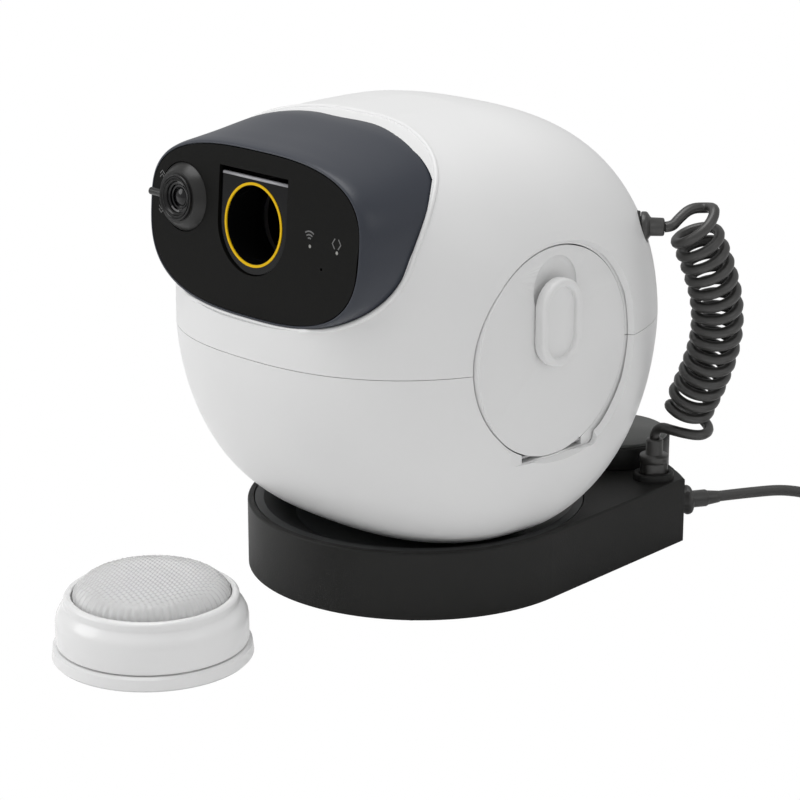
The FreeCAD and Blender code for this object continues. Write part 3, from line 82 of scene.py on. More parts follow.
def make_camera():
    azimuth, elevation = math.radians(CAMERA_AZIMUTH), math.radians(CAMERA_ELEVATION)
    back = Vector((math.sin(azimuth) * math.cos(elevation),
                   -math.cos(azimuth) * math.cos(elevation), math.sin(elevation)))
    right = Vector((math.cos(azimuth), math.sin(azimuth), 0))
    data = bpy.data.cameras.new("view_camera")
    data.sensor_width = SENSOR_WIDTH
    data.lens = SENSOR_WIDTH * FOCAL_PIXELS / IMAGE_PIXELS
    camera = bpy.data.objects.new("view_camera", data)
    camera.location = (Vector((0, 0, CAMERA_HEIGHT)) - right * CAMERA_LEFT
                       + back * CAMERA_DISTANCE)
    camera.rotation_mode = "QUATERNION"
    camera.rotation_quaternion = (-back).to_track_quat("-Z", "Y")
    bpy.context.scene.collection.objects.link(camera)
    bpy.context.scene.camera = camera


# ---------------------------------------------------------------- node tree helpers

def add_node(tree, kind, **values):
    """Adds a node, sets its properties and inputs, and returns it."""
    node = tree.nodes.new(kind)
    for key, value in values.items():
        if hasattr(node, key):
            setattr(node, key, value)
        else:
            node.inputs[key.replace("_", " ")].default_value = value
    return node


def group_moulded_grain():
    """Fine grain of a moulded skin: a soft wander in roughness and a shallow bump."""
    tree = bpy.data.node_groups.new("moulded_grain", "ShaderNodeTree")
    face = tree.interface
    for name in ("Grain Size", "Grain Depth", "Roughness"):
        face.new_socket(name, in_out="INPUT", socket_type="NodeSocketFloat")
    face.new_socket("Roughness", in_out="OUTPUT", socket_type="NodeSocketFloat")
    face.new_socket("Normal", in_out="OUTPUT", socket_type="NodeSocketVector")
    start, end = tree.nodes.new("NodeGroupInput"), tree.nodes.new("NodeGroupOutput")
    link = tree.links.new
    place = tree.nodes.new("ShaderNodeTexCoord")
    grain = add_node(tree, "ShaderNodeTexNoise", Detail=2.0)
    broad = add_node(tree, "ShaderNodeTexNoise", Scale=22.0, Detail=3.0)
    link(place.outputs["Object"], grain.inputs["Vector"])
    link(place.outputs["Object"], broad.inputs["Vector"])
    link(start.outputs["Grain Size"], grain.inputs["Scale"])
    bump = add_node(tree, "ShaderNodeBump", Distance=0.0002)
    link(grain.outputs["Fac"], bump.inputs["Height"])
    link(start.outputs["Grain Depth"], bump.inputs["Strength"])
    centre = add_node(tree, "ShaderNodeMath", operation="SUBTRACT")
    centre.inputs[1].default_value = 0.5
    link(broad.outputs["Fac"], centre.inputs[0])
    spread = add_node(tree, "ShaderNodeMath", operation="MULTIPLY_ADD")
    spread.inputs[1].default_value = 0.04
    link(centre.outputs[0], spread.inputs[0])
    link(start.outputs["Roughness"], spread.inputs[2])
    link(spread.outputs[0], end.inputs["Roughness"])
    link(bump.outputs["Normal"], end.inputs["Normal"])
    return tree


def group_tone_drift():
    """A faint drift in a plastic's colour, from one tone to another."""
    tree = bpy.data.node_groups.new("tone_drift", "ShaderNodeTree")
    face = tree.interface
    face.new_socket("Tone A", in_out="INPUT", socket_type="NodeSocketColor")
    face.new_socket("Tone B", in_out="INPUT", socket_type="NodeSocketColor")
    face.new_socket("Color", in_out="OUTPUT", socket_type="NodeSocketColor")
    start, end = tree.nodes.new("NodeGroupInput"), tree.nodes.new("NodeGroupOutput")
    link = tree.links.new
    place = tree.nodes.new("ShaderNodeTexCoord")
    noise = add_node(tree, "ShaderNodeTexNoise", Scale=18.0, Detail=2.0)
    mix = add_node(tree, "ShaderNodeMix", data_type="RGBA")
    link(place.outputs["Object"], noise.inputs["Vector"])
    link(noise.outputs["Fac"], mix.inputs[0])
    # Sockets 6 and 7 are the mix node's colour inputs, and socket 2 is its colour output.
    link(start.outputs["Tone A"], mix.inputs[6])
    link(start.outputs["Tone B"], mix.inputs[7])
    link(mix.outputs[2], end.inputs["Color"])
    return tree


def plastic(name, tone_a, tone_b, roughness, grain_size, grain_depth, coat=0.0, metallic=0.0,
            specular=0.5, clearness=0.0):
    """A moulded material between two tones, with grain and drift; some are coated or clear."""
    material = bpy.data.materials.new(name)
    material.use_nodes = True
    tree = material.node_tree
    shader = tree.nodes["Principled BSDF"]
    grain = add_node(tree, "ShaderNodeGroup", node_tree=MOULDED_GRAIN, Grain_Size=grain_size,
                     Grain_Depth=grain_depth, Roughness=roughness)
    drift = add_node(tree, "ShaderNodeGroup", node_tree=TONE_DRIFT, Tone_A=(*tone_a, 1),
                     Tone_B=(*tone_b, 1))
    tree.links.new(grain.outputs["Roughness"], shader.inputs["Roughness"])
    tree.links.new(grain.outputs["Normal"], shader.inputs["Normal"])
    tree.links.new(drift.outputs["Color"], shader.inputs["Base Color"])
    for key, value in (("Metallic", metallic), ("Coat Weight", coat), ("Coat Roughness", 0.08),
                       ("Specular IOR Level", specular), ("Transmission Weight", clearness)):
        shader.inputs[key].default_value = value
    if clearness:
        shader.inputs["IOR"].default_value = 1.46
    return material


MOULDED_GRAIN = group_moulded_grain()
TONE_DRIFT = group_tone_drift()

# Two tones, roughness, grain size and grain depth, and what else differs from plain plastic.
FINISHES = {
    "shell_white": ((0.83, 0.832, 0.832), (0.85, 0.85, 0.847), 0.34, 1500, 0.05, {}),
    "base_dark": ((0.012, 0.012, 0.0115), (0.015, 0.015, 0.014), 0.5, 1100, 0.3,
                  {"specular": 0.28}),
    "disc_dark": ((0.026, 0.028, 0.029), (0.03, 0.032, 0.032), 0.42, 900, 0.2, {}),
    "face_dark": ((0.0042, 0.0042, 0.0038), (0.0054, 0.0054, 0.0048), 0.45, 900, 0.2,
                  {"specular": 0.1}),
    "snout_slate": ((0.034, 0.039, 0.052), (0.039, 0.044, 0.058), 0.36, 1200, 0.12,
                    {"specular": 0.4}),
    "tower_grey": ((0.04, 0.044, 0.04), (0.045, 0.048, 0.044), 0.35, 900, 0.15, {}),
    "ring_yellow": ((0.8, 0.49, 0.001), (0.82, 0.51, 0.002), 0.45, 900, 0.05,
                    {"specular": 0.15}),
    "inner_grey": ((0.1, 0.1, 0.1), (0.12, 0.12, 0.12), 0.5, 700, 0.2, {}),
    "nozzle_dark": ((0.003, 0.0032, 0.0035), (0.004, 0.0042, 0.0046), 0.16, 700, 0.03,
                    {"specular": 0.22}),
    "steel": ((0.5, 0.5, 0.5), (0.55, 0.55, 0.56), 0.3, 500, 0.2, {"metallic": 1.0}),
    "rubber_black": ((0.02, 0.02, 0.02), (0.026, 0.026, 0.026), 0.7, 800, 0.4, {}),
    "cord_grey": ((0.027, 0.0265, 0.025), (0.033, 0.032, 0.03), 0.4, 900, 0.12,
                  {"specular": 0.9}),
    "board_green": ((0.01, 0.1, 0.03), (0.015, 0.13, 0.04), 0.35, 300, 0.4, {}),
    "button_white": ((0.84, 0.84, 0.84), (0.86, 0.86, 0.86), 0.22, 1500, 0.03, {"coat": 0.2}),
    "eye_dark": ((0.02, 0.02, 0.0195), (0.024, 0.024, 0.0235), 0.3, 900, 0.08,
                 {"specular": 0.4}),
    "light_white": ((0.3, 0.3, 0.28), (0.34, 0.34, 0.32), 0.3, 900, 0.05, {}),
    "lens_black": ((0.009, 0.009, 0.009), (0.011, 0.011, 0.011), 0.28, 900, 0.05,
                   {"specular": 0.4}),
    # A pale grey for the bar on the nozzle's dark plate: a painted highlight along its top edge,
    # not the plate's own colour.
    "painted_highlight_grey": ((0.36, 0.36, 0.38), (0.4, 0.4, 0.42), 0.25, 900, 0.03, {}),
    "mark_grey": ((0.12, 0.12, 0.12), (0.15, 0.15, 0.15), 0.45, 900, 0.05, {}),
    "clear_smoke": ((0.6, 0.62, 0.64), (0.6, 0.62, 0.64), 0.25, 600, 0.05, {"clearness": 0.9}),
    "dome_clear": ((0.97, 0.97, 0.97), (0.97, 0.97, 0.97), 0.08, 500, 0.03, {"clearness": 0.55}),
    "lens_glass": ((0.003, 0.003, 0.004), (0.004, 0.004, 0.005), 0.12, 300, 0.0,
                   {"coat": 0.5, "specular": 0.2}),
}
FINISH = {name: plastic(name, *values, **extras) for name, (*values, extras) in FINISHES.items()}

FINISHED_NODES = {
    "base_dark": "base_housing base_plate rear_tower cord_socket power_inlet speaker",
    "rubber_black": "base_feet button_feet head_socket door_seal",
    "steel": "base_screws yaw_bearing yaw_motor button_spring shell_screws toss_motor "
             "toss_spring wheel_motor door_pin",
    "tower_grey": "tower_cap",
    "cord_grey": "base_cord_plug power_plug power_connector head_cord_plug",
    "board_green": "base_board button_board main_board",
    "button_white": "button_case button_base",
    "inner_grey": "yaw_pinion yaw_gear snout_frame feed_chute treat_wheel",
    "disc_dark": "turntable",
    "shell_white": "upper_shell lower_shell hopper_door door_latch",
    "snout_slate": "snout_housing",
    "face_dark": "face_panel",
    "light_white": "status_lights",
    "nozzle_dark": "launch_barrel nozzle plunger",
    "clear_smoke": "hopper_tub",
    "ring_yellow": "light_ring",
    "eye_dark": "camera_ball lens_ring tilt_lever",
    "lens_glass": "camera_lens",
    "dome_clear": "button_dome",
}


def dress_frame():
    """Gives every mesh of the frame its finish."""
    for finish, names in FINISHED_NODES.items():
        for name in names.split():
            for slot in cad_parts[name].material_slots:
                slot.material = FINISH[finish]


# ---------------------------------------------------------------- mesh helpers

def piece(name, mesh, finish, body):
    """A smooth-shaded piece, riding on a body where one is given; its slot is its finish's."""
    thing = bpy.data.objects.new(name, mesh)
    bpy.context.scene.collection.objects.link(thing)
    mesh.materials.clear()
    mesh.materials.append(FINISH[finish])
    for polygon in mesh.polygons:
        polygon.use_smooth = True
    if body:
        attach(thing, body)
    return thing


def bridge(build, low, high):
    """Faces between two rings; a ring of one vertex closes to a point."""
    count = max(len(low), len(high))
    for k in range(count):
        n = (k + 1) % count
        if len(low) == 1:
            build.faces.new((low[0], high[n], high[k]))
        elif len(high) == 1:
            build.faces.new((low[k], low[n], high[0]))
        else:
            build.faces.new((low[k], low[n], high[n], high[k]))


def cap_ends(build, rings):
    """Flat faces over the first and the last ring."""
    build.faces.new(list(reversed(rings[0])))
    build.faces.new(rings[-1])


def built_mesh(build, name):
    """The mesh of a finished build, with its normals pointing outwards."""
    bmesh.ops.recalc_face_normals(build, faces=build.faces)
    mesh = bpy.data.meshes.new(name)
    build.to_mesh(mesh)
    build.free()
    return mesh


def spline_points(name, controls):
    """Points along a smooth NURBS line through the route's controls, in metres."""
    data = bpy.data.curves.new(name, "CURVE")
    data.dimensions = "3D"
    line = data.splines.new("NURBS")
    line.points.add(len(controls) - 1)
    for point, control in zip(line.points, controls):
        point.co = (*(Vector(control) * MM), 1)
    line.order_u = 3
    line.use_endpoint_u = True
    line.resolution_u = 8
    holder = bpy.data.objects.new(name, data)
    bpy.context.scene.collection.objects.link(holder)
    bpy.context.view_layer.update()
    mesh = bpy.data.meshes.new_from_object(holder)
    points = [v.co.copy() for v in mesh.vertices]
    bpy.data.objects.remove(holder)
    bpy.data.curves.remove(data)
    bpy.data.meshes.remove(mesh)
    return points


def frames_along(points):
    """A tangent and a steady side direction at each point of a line."""
    tangents = []
    for i in range(len(points)):
        before, after = points[max(i - 1, 0)], points[min(i + 1, len(points) - 1)]
        tangents.append((after - before).normalized())
    side = tangents[0].orthogonal().normalized()
    frames = []
    for tangent in tangents:
        side = (side - tangent * side.dot(tangent)).normalized()
        frames.append((tangent, side))
    return frames


def tube_mesh(name, points, radius, sides=14):
    """A closed round tube along a line, radius a number or one for each point."""
    build = bmesh.new()
    rings = []
    for i, (point, (tangent, side)) in enumerate(zip(points, frames_along(points))):
        r = radius[i] if isinstance(radius, list) else radius
        other = tangent.cross(side)
        rings.append([build.verts.new(point + (side * math.cos(a) + other * math.sin(a)) * r)
                      for a in round_turn(sides)])
    for low, high in zip(rings, rings[1:]):
        bridge(build, low, high)
    cap_ends(build, rings)
    return built_mesh(build, name)


def lathe_mesh(name, profile, steps, matrix, closed=False):
    """A mesh turned about Z from radius and height pairs in millimetres."""
    build = bmesh.new()
    rings = []
    for radius, height in profile:
        if radius < 1e-6:
            rings.append([build.verts.new(in_metres(matrix, (0, 0, height)))])
            continue
        rings.append([build.verts.new(in_metres(matrix, (radius * math.cos(a),
                                                         radius * math.sin(a), height)))
                      for a in round_turn(steps)])
    for low, high in zip(rings, rings[1:] + rings[:1] if closed else rings[1:]):
        bridge(build, low, high)
    return built_mesh(build, name)


# ---------------------------------------------------------------- cords

# The curly cord's axis from the head down to the base, and the leads at its two ends.
CURLY_ROUTE = [(75.7, 101.9, 182.0), (78.5, 113.8, 158.0), (76.6, 125.2, 126.5),
               (67.1, 126.8, 96.0), (52.0, 124.4, 69.0)]
CURLY_RADIUS, CURLY_TUBE = 10.7, 2.6
CURLY_TURNS, CURLY_POINTS_A_TURN = 14.5, 12
# How much of the axis is left free of turns at the base's end and at the head's.
CURLY_START, CURLY_END = 4.6, 10.7
# The level direction that the first turn starts away from.
CURLY_OUTWARD = Vector((0.531, 0.847, 0))
# How far the helix lifts over its last half turn, up to the head's plug.
CURLY_LIFT = 5.5
BASE_PLUG_TOP = (43.5, 112.8, 56.0)
HEAD_PLUG_END = (71.47, 93.14, 173.5)
LOWER_LEAD = [BASE_PLUG_TOP, (43.5, 112.8, 63.2), (57.0, 116.4, 62.6), (65.5, 125.0, 61.0),
              (60.5, 135.0, 61.6), (51.0, 135.6, 65.8), (45.7, 130.5, 70.6)]
UPPER_LEAD = [(74.1, 116.4, 180.6), (72.2, 108.0, 181.0), (72.0, 101.0, 176.5),
              (73.6, 96.0, 173.6), HEAD_PLUG_END]

# The power cord from its plug to the put-away coil, the coil, and the tail to the connector.
POWER_ROUTE = [(42.6, 148.5, 17.5), (50.2, 170.0, 18.6), (59.7, 189.6, 19.6),
               (72.1, 207.2, 14.0), (86.6, 222.9, 5.2), (103.6, 236.9, 2.85)]
POWER_TUBE = 2.8
COIL_CENTRE = (122.9, 213.2, 10.2)
COIL_RADIUS, BUNDLE_RADIUS = 30.8, 7.38
COIL_TURNS, COIL_POINTS_A_TURN = 7, 14
# Where the cord enters the coil and leaves it, in degrees round the coil.
COIL_ENTRY, COIL_LEAVE = 129, 27.9
# The first turn's place round the bundle and the step from turn to turn, in degrees.
LANE_START, LANE_STEP = 270, 45
TAIL_ROUTE = [(163.5, 222.5, 2.85), (170.3, 211.2, 3.3)]


def line_length(points):
    return sum((b - a).length for a, b in zip(points, points[1:]))


def at_distance(points, frames, goal):
    """The point and the direction of a line at a distance from its start."""
    for i in range(len(points) - 1):
        step = (points[i + 1] - points[i]).length
        if goal <= step or i == len(points) - 2:
            share = min(1.0, goal / step)
            tangent = frames[i][0].lerp(frames[i + 1][0], share).normalized()
            return points[i].lerp(points[i + 1], share), tangent
        goal -= step


def curly_helix():
    """The helix's points, several for each turn, going up the curly cord's axis."""
    axis = [p / MM for p in reversed(spline_points("curly_axis", CURLY_ROUTE))]
    frames = frames_along(axis)
    span = line_length(axis) - CURLY_START - CURLY_END
    steps = int(CURLY_TURNS * CURLY_POINTS_A_TURN)
    helix = []
    lift_from = (CURLY_TURNS - 0.5) * CURLY_POINTS_A_TURN
    for step in range(steps + 1):
        centre, tangent = at_distance(axis, frames, CURLY_START + span * step / steps)
        rising = max(0.0, (step - lift_from) / (steps - lift_from))
        centre = centre + Vector((0, 0, CURLY_LIFT * rising ** 1.5))
        side = (CURLY_OUTWARD - tangent * CURLY_OUTWARD.dot(tangent)).normalized()
        other = tangent.cross(side)
        turn = math.pi + 2 * math.pi * step / CURLY_POINTS_A_TURN
        helix.append(centre + (side * math.cos(turn) + other * math.sin(turn)) * CURLY_RADIUS)
    return helix


def make_curly_cord():
    """The coiled cord from the base's plug to the head's."""
    controls = LOWER_LEAD + curly_helix() + UPPER_LEAD
    points = spline_points("curly_line", controls)
    mesh = tube_mesh("curly_cord_line", points, CURLY_TUBE * MM, 12)
    cord = piece("curly_cord_line", mesh, "cord_grey", None)
    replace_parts(cord, "curly_cord", "curly_cord_lead", "curly_cord_entry")
    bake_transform(cord)


def coil_controls():
    """Turns of the put-away cord, wound on a ring so that they lie side by side."""
    entry, leave = math.radians(COIL_ENTRY), math.radians(COIL_LEAVE)
    sweep = 2 * math.pi * COIL_TURNS + (entry - leave)
    steps = int(sweep / (2 * math.pi) * COIL_POINTS_A_TURN)
    # The line cuts the corners between its controls, so they stand a little further out.
    spread = math.cos(math.pi / COIL_POINTS_A_TURN) ** 0.5
    controls = []
    for step in range(1, steps + 1):
        travelled = sweep * step / steps
        around = entry - travelled
        lane = math.radians(LANE_START) - math.radians(LANE_STEP) * travelled / (2 * math.pi)
        radius = (COIL_RADIUS + BUNDLE_RADIUS * math.cos(lane)) / spread
        controls.append((COIL_CENTRE[0] + radius * math.cos(around),
                         COIL_CENTRE[1] + radius * math.sin(around),
                         COIL_CENTRE[2] + BUNDLE_RADIUS * math.sin(lane)))
    return controls


def make_power_cord():
    """The power cord, with the length that is not laid out wound into a coil."""
    points = spline_points("power_line", POWER_ROUTE + coil_controls() + TAIL_ROUTE)
    mesh = tube_mesh("power_cord_line", points, POWER_TUBE * MM, 12)
    cord = piece("power_cord_line", mesh, "cord_grey", "base")
    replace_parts(cord, "power_cord", "power_cord_coil", "power_cord_tail")


# ---------------------------------------------------------------- the head's surface

HEAD_SIDE, HEAD_FRONT, HEAD_BACK = 105.0, 114.8, 113.0
SEAM_HEIGHT, DOME_HEIGHT = 129.0, 103.5
# The power of the head's outline from above, and the pairs of powers of its upright outlines.
PLAN_POWER = 2.45
UPPER = {"side": (3.11, 2.77), "front": (5.8, 5.5), "back": (2.42, 1.6)}
LOWER = {"side": (4.0, 2.68), "front": (2.95, 1.5), "back": (2.09, 1.78)}

# The snout's outline at the face and at its widest, as half width, top and bottom.
FACE_SIZE = (71.0, 35.0, 43.0)
SNOUT_SIZE = (76.7, 46.2, 44.5)
# Depth, then the growth of the sides and of the top and the outline's power there.
SNOUT_STATIONS = ((0.0, 0.0, 0.0, 2.85), (1.0, 0.16, 0.05, 2.85), (2.5, 0.32, 0.09, 2.83),
                  (5.0, 0.5, 0.15, 2.8), (9.0, 0.68, 0.23, 2.74), (15.0, 0.84, 0.36, 2.68),
                  (24.0, 0.95, 0.55, 2.66), (38.0, 1.0, 0.87, 2.68), (44.0, 1.0, 0.98, 2.7),
                  (52.0, 1.0, 1.03, 2.7), (80.0, 1.0, 1.03, 2.7))
SNOUT_REACH = SNOUT_STATIONS[-1][0]


def fullness(rise, powers):
    """The share of the head's full width that is left at a share of its full height."""
    outwards, upwards = powers
    return max(0.0, 1 - rise ** upwards) ** (1 / outwards)


def head_reach(y, height):
    """The head's half width and its depth to the front or back, at a height."""
    profile = UPPER if height > SEAM_HEIGHT else LOWER
    rise = min(1.0, abs(height - SEAM_HEIGHT) / DOME_HEIGHT)
    depth = (HEAD_FRONT * fullness(rise, profile["front"]) if y < 0
             else HEAD_BACK * fullness(rise, profile["back"]))
    return HEAD_SIDE * fullness(rise, profile["side"]), depth


def outside_head(point):
    """Above zero outside the head, below zero inside it."""
    across, depth = head_reach(point.y, point.z)
    if across < 1 or depth < 1:
        return 1.0
    return abs(point.x / across) ** PLAN_POWER + abs(point.y / depth) ** PLAN_POWER - 1


def slope_at(index, column):
    """The steady slope of the snout's growth at a station, for a smooth line through them."""
    before = SNOUT_STATIONS[max(index - 1, 0)]
    after = SNOUT_STATIONS[min(index + 1, len(SNOUT_STATIONS) - 1)]
    return (after[column] - before[column]) / (after[0] - before[0])


def snout_shares(depth):
    """The growth of the sides, the growth of the top and the power at a depth."""
    depth = min(max(depth, 0.0), SNOUT_REACH)
    for index in range(len(SNOUT_STATIONS) - 1):
        first, second = SNOUT_STATIONS[index], SNOUT_STATIONS[index + 1]
        if depth <= second[0]:
            break
    span = second[0] - first[0]
    t = (depth - first[0]) / span
    shares = []
    for column in (1, 2, 3):
        start, end = slope_at(index, column) * span, slope_at(index + 1, column) * span
        shares.append((2 * t ** 3 - 3 * t ** 2 + 1) * first[column]
                      + (t ** 3 - 2 * t ** 2 + t) * start
                      + (3 * t ** 2 - 2 * t ** 3) * second[column]
                      + (t ** 3 - t ** 2) * end)
    return shares


def snout_outline(turn, depth, grow):
    """A point on the snout's outline at a depth behind the face, grown outwards."""
    sides, rise, power = snout_shares(depth)
    width = FACE_SIZE[0] + sides * (SNOUT_SIZE[0] - FACE_SIZE[0]) + grow
    top = FACE_SIZE[1] + rise * (SNOUT_SIZE[1] - FACE_SIZE[1]) + grow
    bottom = FACE_SIZE[2] + sides * (SNOUT_SIZE[2] - FACE_SIZE[2]) + grow
    cosine, sine = math.cos(turn), math.sin(turn)
    return Vector((width * math.copysign(abs(cosine) ** (2 / power), cosine), depth,
                   (top if sine > 0 else bottom) * math.copysign(abs(sine) ** (2 / power), sine)))


def lip_depth(turn, grow):
    """How deep behind the face the snout's grown outline enters the head for good."""
    def stands_out(depth):
        return outside_head(FACE_IN_HEAD @ snout_outline(turn, depth, grow)) > 0
    high = SNOUT_REACH - 1
    while high > 1.5 and not stands_out(high - 1):
        high -= 1
    low = high - 1
    for _ in range(20):
        middle = (low + high) / 2
        if stands_out(middle):
            low = middle
        else:
            high = middle
    return low


def lip_point(turn, grow, sink):
    """Where the snout's grown outline meets the head, moved back into the head a little."""
    return FACE_IN_HEAD @ snout_outline(turn, lip_depth(turn, grow) + sink, grow)


def loop_tube(name, points, radius, sides=12):
    """A closed ring of tube through points that go round a loop."""
    build = bmesh.new()
    count = len(points)
    centre = sum(points, Vector()) / count
    rings = []
    for i, point in enumerate(points):
        tangent = (points[(i + 1) % count] - points[i - 1]).normalized()
        side = point - centre
        side = (side - tangent * side.dot(tangent)).normalized()
        other = tangent.cross(side)
        rings.append([build.verts.new(point + (side * math.cos(a) + other * math.sin(a)) * radius)
                      for a in round_turn(sides)])
    for low, high in zip(rings, rings[1:] + rings[:1]):
        bridge(build, low, high)
    return built_mesh(build, name)


# How far the lip stands off the snout, how far it is sunk into the head, and its radius.
LIP_GROW, LIP_SINK, LIP_RADIUS, LIP_POINTS = 1.2, 0.7, 1.25, 240


def make_opening_lip():
    """The rounded edge of the white shell round the snout."""
    points = [(HEAD @ lip_point(turn, LIP_GROW, LIP_SINK)) * MM for turn in round_turn(LIP_POINTS)]
    piece("opening_lip", loop_tube("opening_lip", points, LIP_RADIUS * MM), "shell_white", "head")


# The snout's wall, its rim, the depth of the panel's seat and how far it reaches into the head.
SNOUT_WALL, RIM_INSET, PANEL_SEAT, BACK_REACH = 2.5, 1.0, 2.25, 4.0
RIM_RADIUS = 0.5
# Points round the snout, and steps along its outside, its rim and its inside.
SNOUT_COLUMNS, OUTSIDE_STEPS, RIM_STEPS, INSIDE_STEPS = 200, 36, 8, 20
# Below one, this gathers the outside's steps towards the rim.
STEP_SPREAD = 0.8


def snout_column(turn):
    """The snout's section at an angle: out to the rim, over the panel's seat and back inside."""
    back = lip_depth(turn, 0.0) + BACK_REACH
    column = [snout_outline(turn, back + (RIM_RADIUS - back) * (j / OUTSIDE_STEPS) ** STEP_SPREAD,
                            0)
              for j in range(OUTSIDE_STEPS + 1)]
    for j in range(1, RIM_STEPS + 1):
        bend = math.pi * j / RIM_STEPS
        column.append(snout_outline(turn, RIM_RADIUS - RIM_RADIUS * math.sin(bend),
                                    -RIM_RADIUS + RIM_RADIUS * math.cos(bend)))
    column.append(snout_outline(turn, PANEL_SEAT, -RIM_INSET))
    column += [snout_outline(turn, PANEL_SEAT + (back - PANEL_SEAT) * j / INSIDE_STEPS,
                             -SNOUT_WALL)
               for j in range(INSIDE_STEPS + 1)]
    return column


def make_snout():
    """The slate snout: one smooth wall with a soft rim round the face panel."""
    build = bmesh.new()
    columns = [[build.verts.new(in_metres(FACE, spot)) for spot in snout_column(turn)]
               for turn in round_turn(SNOUT_COLUMNS)]
    for this, following in zip(columns, columns[1:] + columns[:1]):
        bridge(build, this, following)
    mesh = built_mesh(build, "snout_skin")
    snout = piece("snout_skin", mesh, "snout_slate", "head")
    mesh.set_sharp_from_angle(angle=math.radians(50))
    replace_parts(snout, "snout_housing")


# ---------------------------------------------------------------- soft edges

# Node, finish, body and the width of its rounded edges in millimetres.
SOFTENED = [
    ("hopper_door", "shell_white", "door", 0.9),
    ("door_latch", "shell_white", "latch", 0.5),
    ("tower_cap", "tower_grey", "base", 0.5),
    ("rear_tower", "base_dark", "base", 0.6),
    ("button_case", "button_white", "base", 0.5),
]
MERGE_DISTANCE = 0.00001
# Faces that meet at less than the first angle are joined; edges above the second are rounded.
FLAT_ANGLE, SHARP_ANGLE = math.radians(0.6), math.radians(38)


def make_soft_edges():
    """Copies of moulded parts with their sharp edges rounded off."""
    for name, finish, body, width in SOFTENED:
        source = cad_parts[name]
        build = bmesh.new()
        build.from_mesh(source.data)
        bmesh.ops.remove_doubles(build, verts=build.verts, dist=MERGE_DISTANCE)
        bmesh.ops.dissolve_limit(build, angle_limit=FLAT_ANGLE, verts=build.verts,
                                 edges=build.edges)
        flat = bpy.data.meshes.new(name + "_merged")
        build.to_mesh(flat)
        build.free()
        holder = bpy.data.objects.new(name + "_holder", flat)
        bpy.context.scene.collection.objects.link(holder)
        bevel = holder.modifiers.new("soft", "BEVEL")
        bevel.width = width * MM
        bevel.segments = 3
        bevel.limit_method = "ANGLE"
        bevel.angle_limit = SHARP_ANGLE
        bevel.use_clamp_overlap = True
        bevel.harden_normals = True
        bpy.context.view_layer.update()
        graph = bpy.context.evaluated_depsgraph_get()
        mesh = bpy.data.meshes.new_from_object(holder.evaluated_get(graph))
        bpy.data.objects.remove(holder)
        mesh.name = name + "_soft"
        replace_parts(piece(name + "_soft", mesh, finish, body), name)


# ---------------------------------------------------------------- the push button's dome

BUTTON = Matrix.Translation((40, -169, 0))
DOME_RADIUS, DOME_TOP, DOME_LOW, DOME_SIDE = 36.0, 40.6, 27.6, 30.0
DOME_POWER, DOME_CURVE, DOME_WALL = 4.2, 0.5, 2.4
# The top takes TOP_RINGS of DOME_RINGS even steps outwards; the steep side, the skirt below it
# and the inside have steps of their own.
DOME_RINGS, TOP_RINGS, SIDE_RINGS, SKIRT_RINGS, INNER_RINGS = 110, 99, 12, 4, 12
# The prisms' spacing, half their height, and the plain border that they fade out over.
PRISM_PITCH, PRISM_RISE, PRISM_BORDER = 2.4, 0.5, 3.0
# How far the outside is set down, to make room for the prisms' tips.
OUTSIDE_DROP = 0.4
# The flutes' number, points each, depth, distance below the top and the height they fade in over.
FLUTES, FLUTE_POINTS, FLUTE_DEPTH, FLUTE_START, FLUTE_FADE = 60, 6, 0.8, 2.8, 2.5


def dome_height(radius):
    """Height of the dome's outside at a radius."""
    share = min(1.0, radius / DOME_RADIUS)
    return DOME_SIDE + (DOME_TOP - DOME_SIDE) * (1 - share ** DOME_POWER) ** DOME_CURVE


def dome_profile():
    """Radius and height pairs of the dome's outside, from its top down."""
    pairs = [(DOME_RADIUS * step / DOME_RINGS, dome_height(DOME_RADIUS * step / DOME_RINGS))
             for step in range(TOP_RINGS + 1)]
    for step in range(1, SIDE_RINGS + 1):
        height = dome_height(DOME_RADIUS * TOP_RINGS / DOME_RINGS)
        height += (DOME_SIDE - height) * step / SIDE_RINGS
        share = ((height - DOME_SIDE) / (DOME_TOP - DOME_SIDE)) ** (1 / DOME_CURVE)
        pairs.append((DOME_RADIUS * (1 - share) ** (1 / DOME_POWER), height))
    for step in range(1, SKIRT_RINGS + 1):
        pairs.append((DOME_RADIUS, DOME_SIDE - (DOME_SIDE - DOME_LOW) * step / SKIRT_RINGS))
    return pairs


def prism_rise(x, y, radius):
    """Height of the small square pyramids pressed into the dome's top."""
    def wave(value):
        return abs((value / PRISM_PITCH) % 1 - 0.5) * 2
    fade = max(0.0, min(1.0, (DOME_RADIUS - PRISM_BORDER - radius) / PRISM_BORDER))
    return PRISM_RISE * (wave(x) + wave(y) - 1) * fade


def outer_dome_ring(radius, height, turns):
    """The points of one ring of the dome's outside, with its prisms and flutes."""
    ring = []
    for turn in turns:
        x, y = radius * math.cos(turn), radius * math.sin(turn)
        lift = prism_rise(x, y, radius)
        if height < DOME_TOP - FLUTE_START:
            flute = FLUTE_DEPTH * (abs(math.sin(turn * FLUTES / 2)) - 1)
            reach = min(1.0, (DOME_TOP - FLUTE_START - height) / FLUTE_FADE)
            x, y = x * (1 + flute * reach / radius), y * (1 + flute * reach / radius)
        ring.append((x, y, height + lift - OUTSIDE_DROP))
    return ring


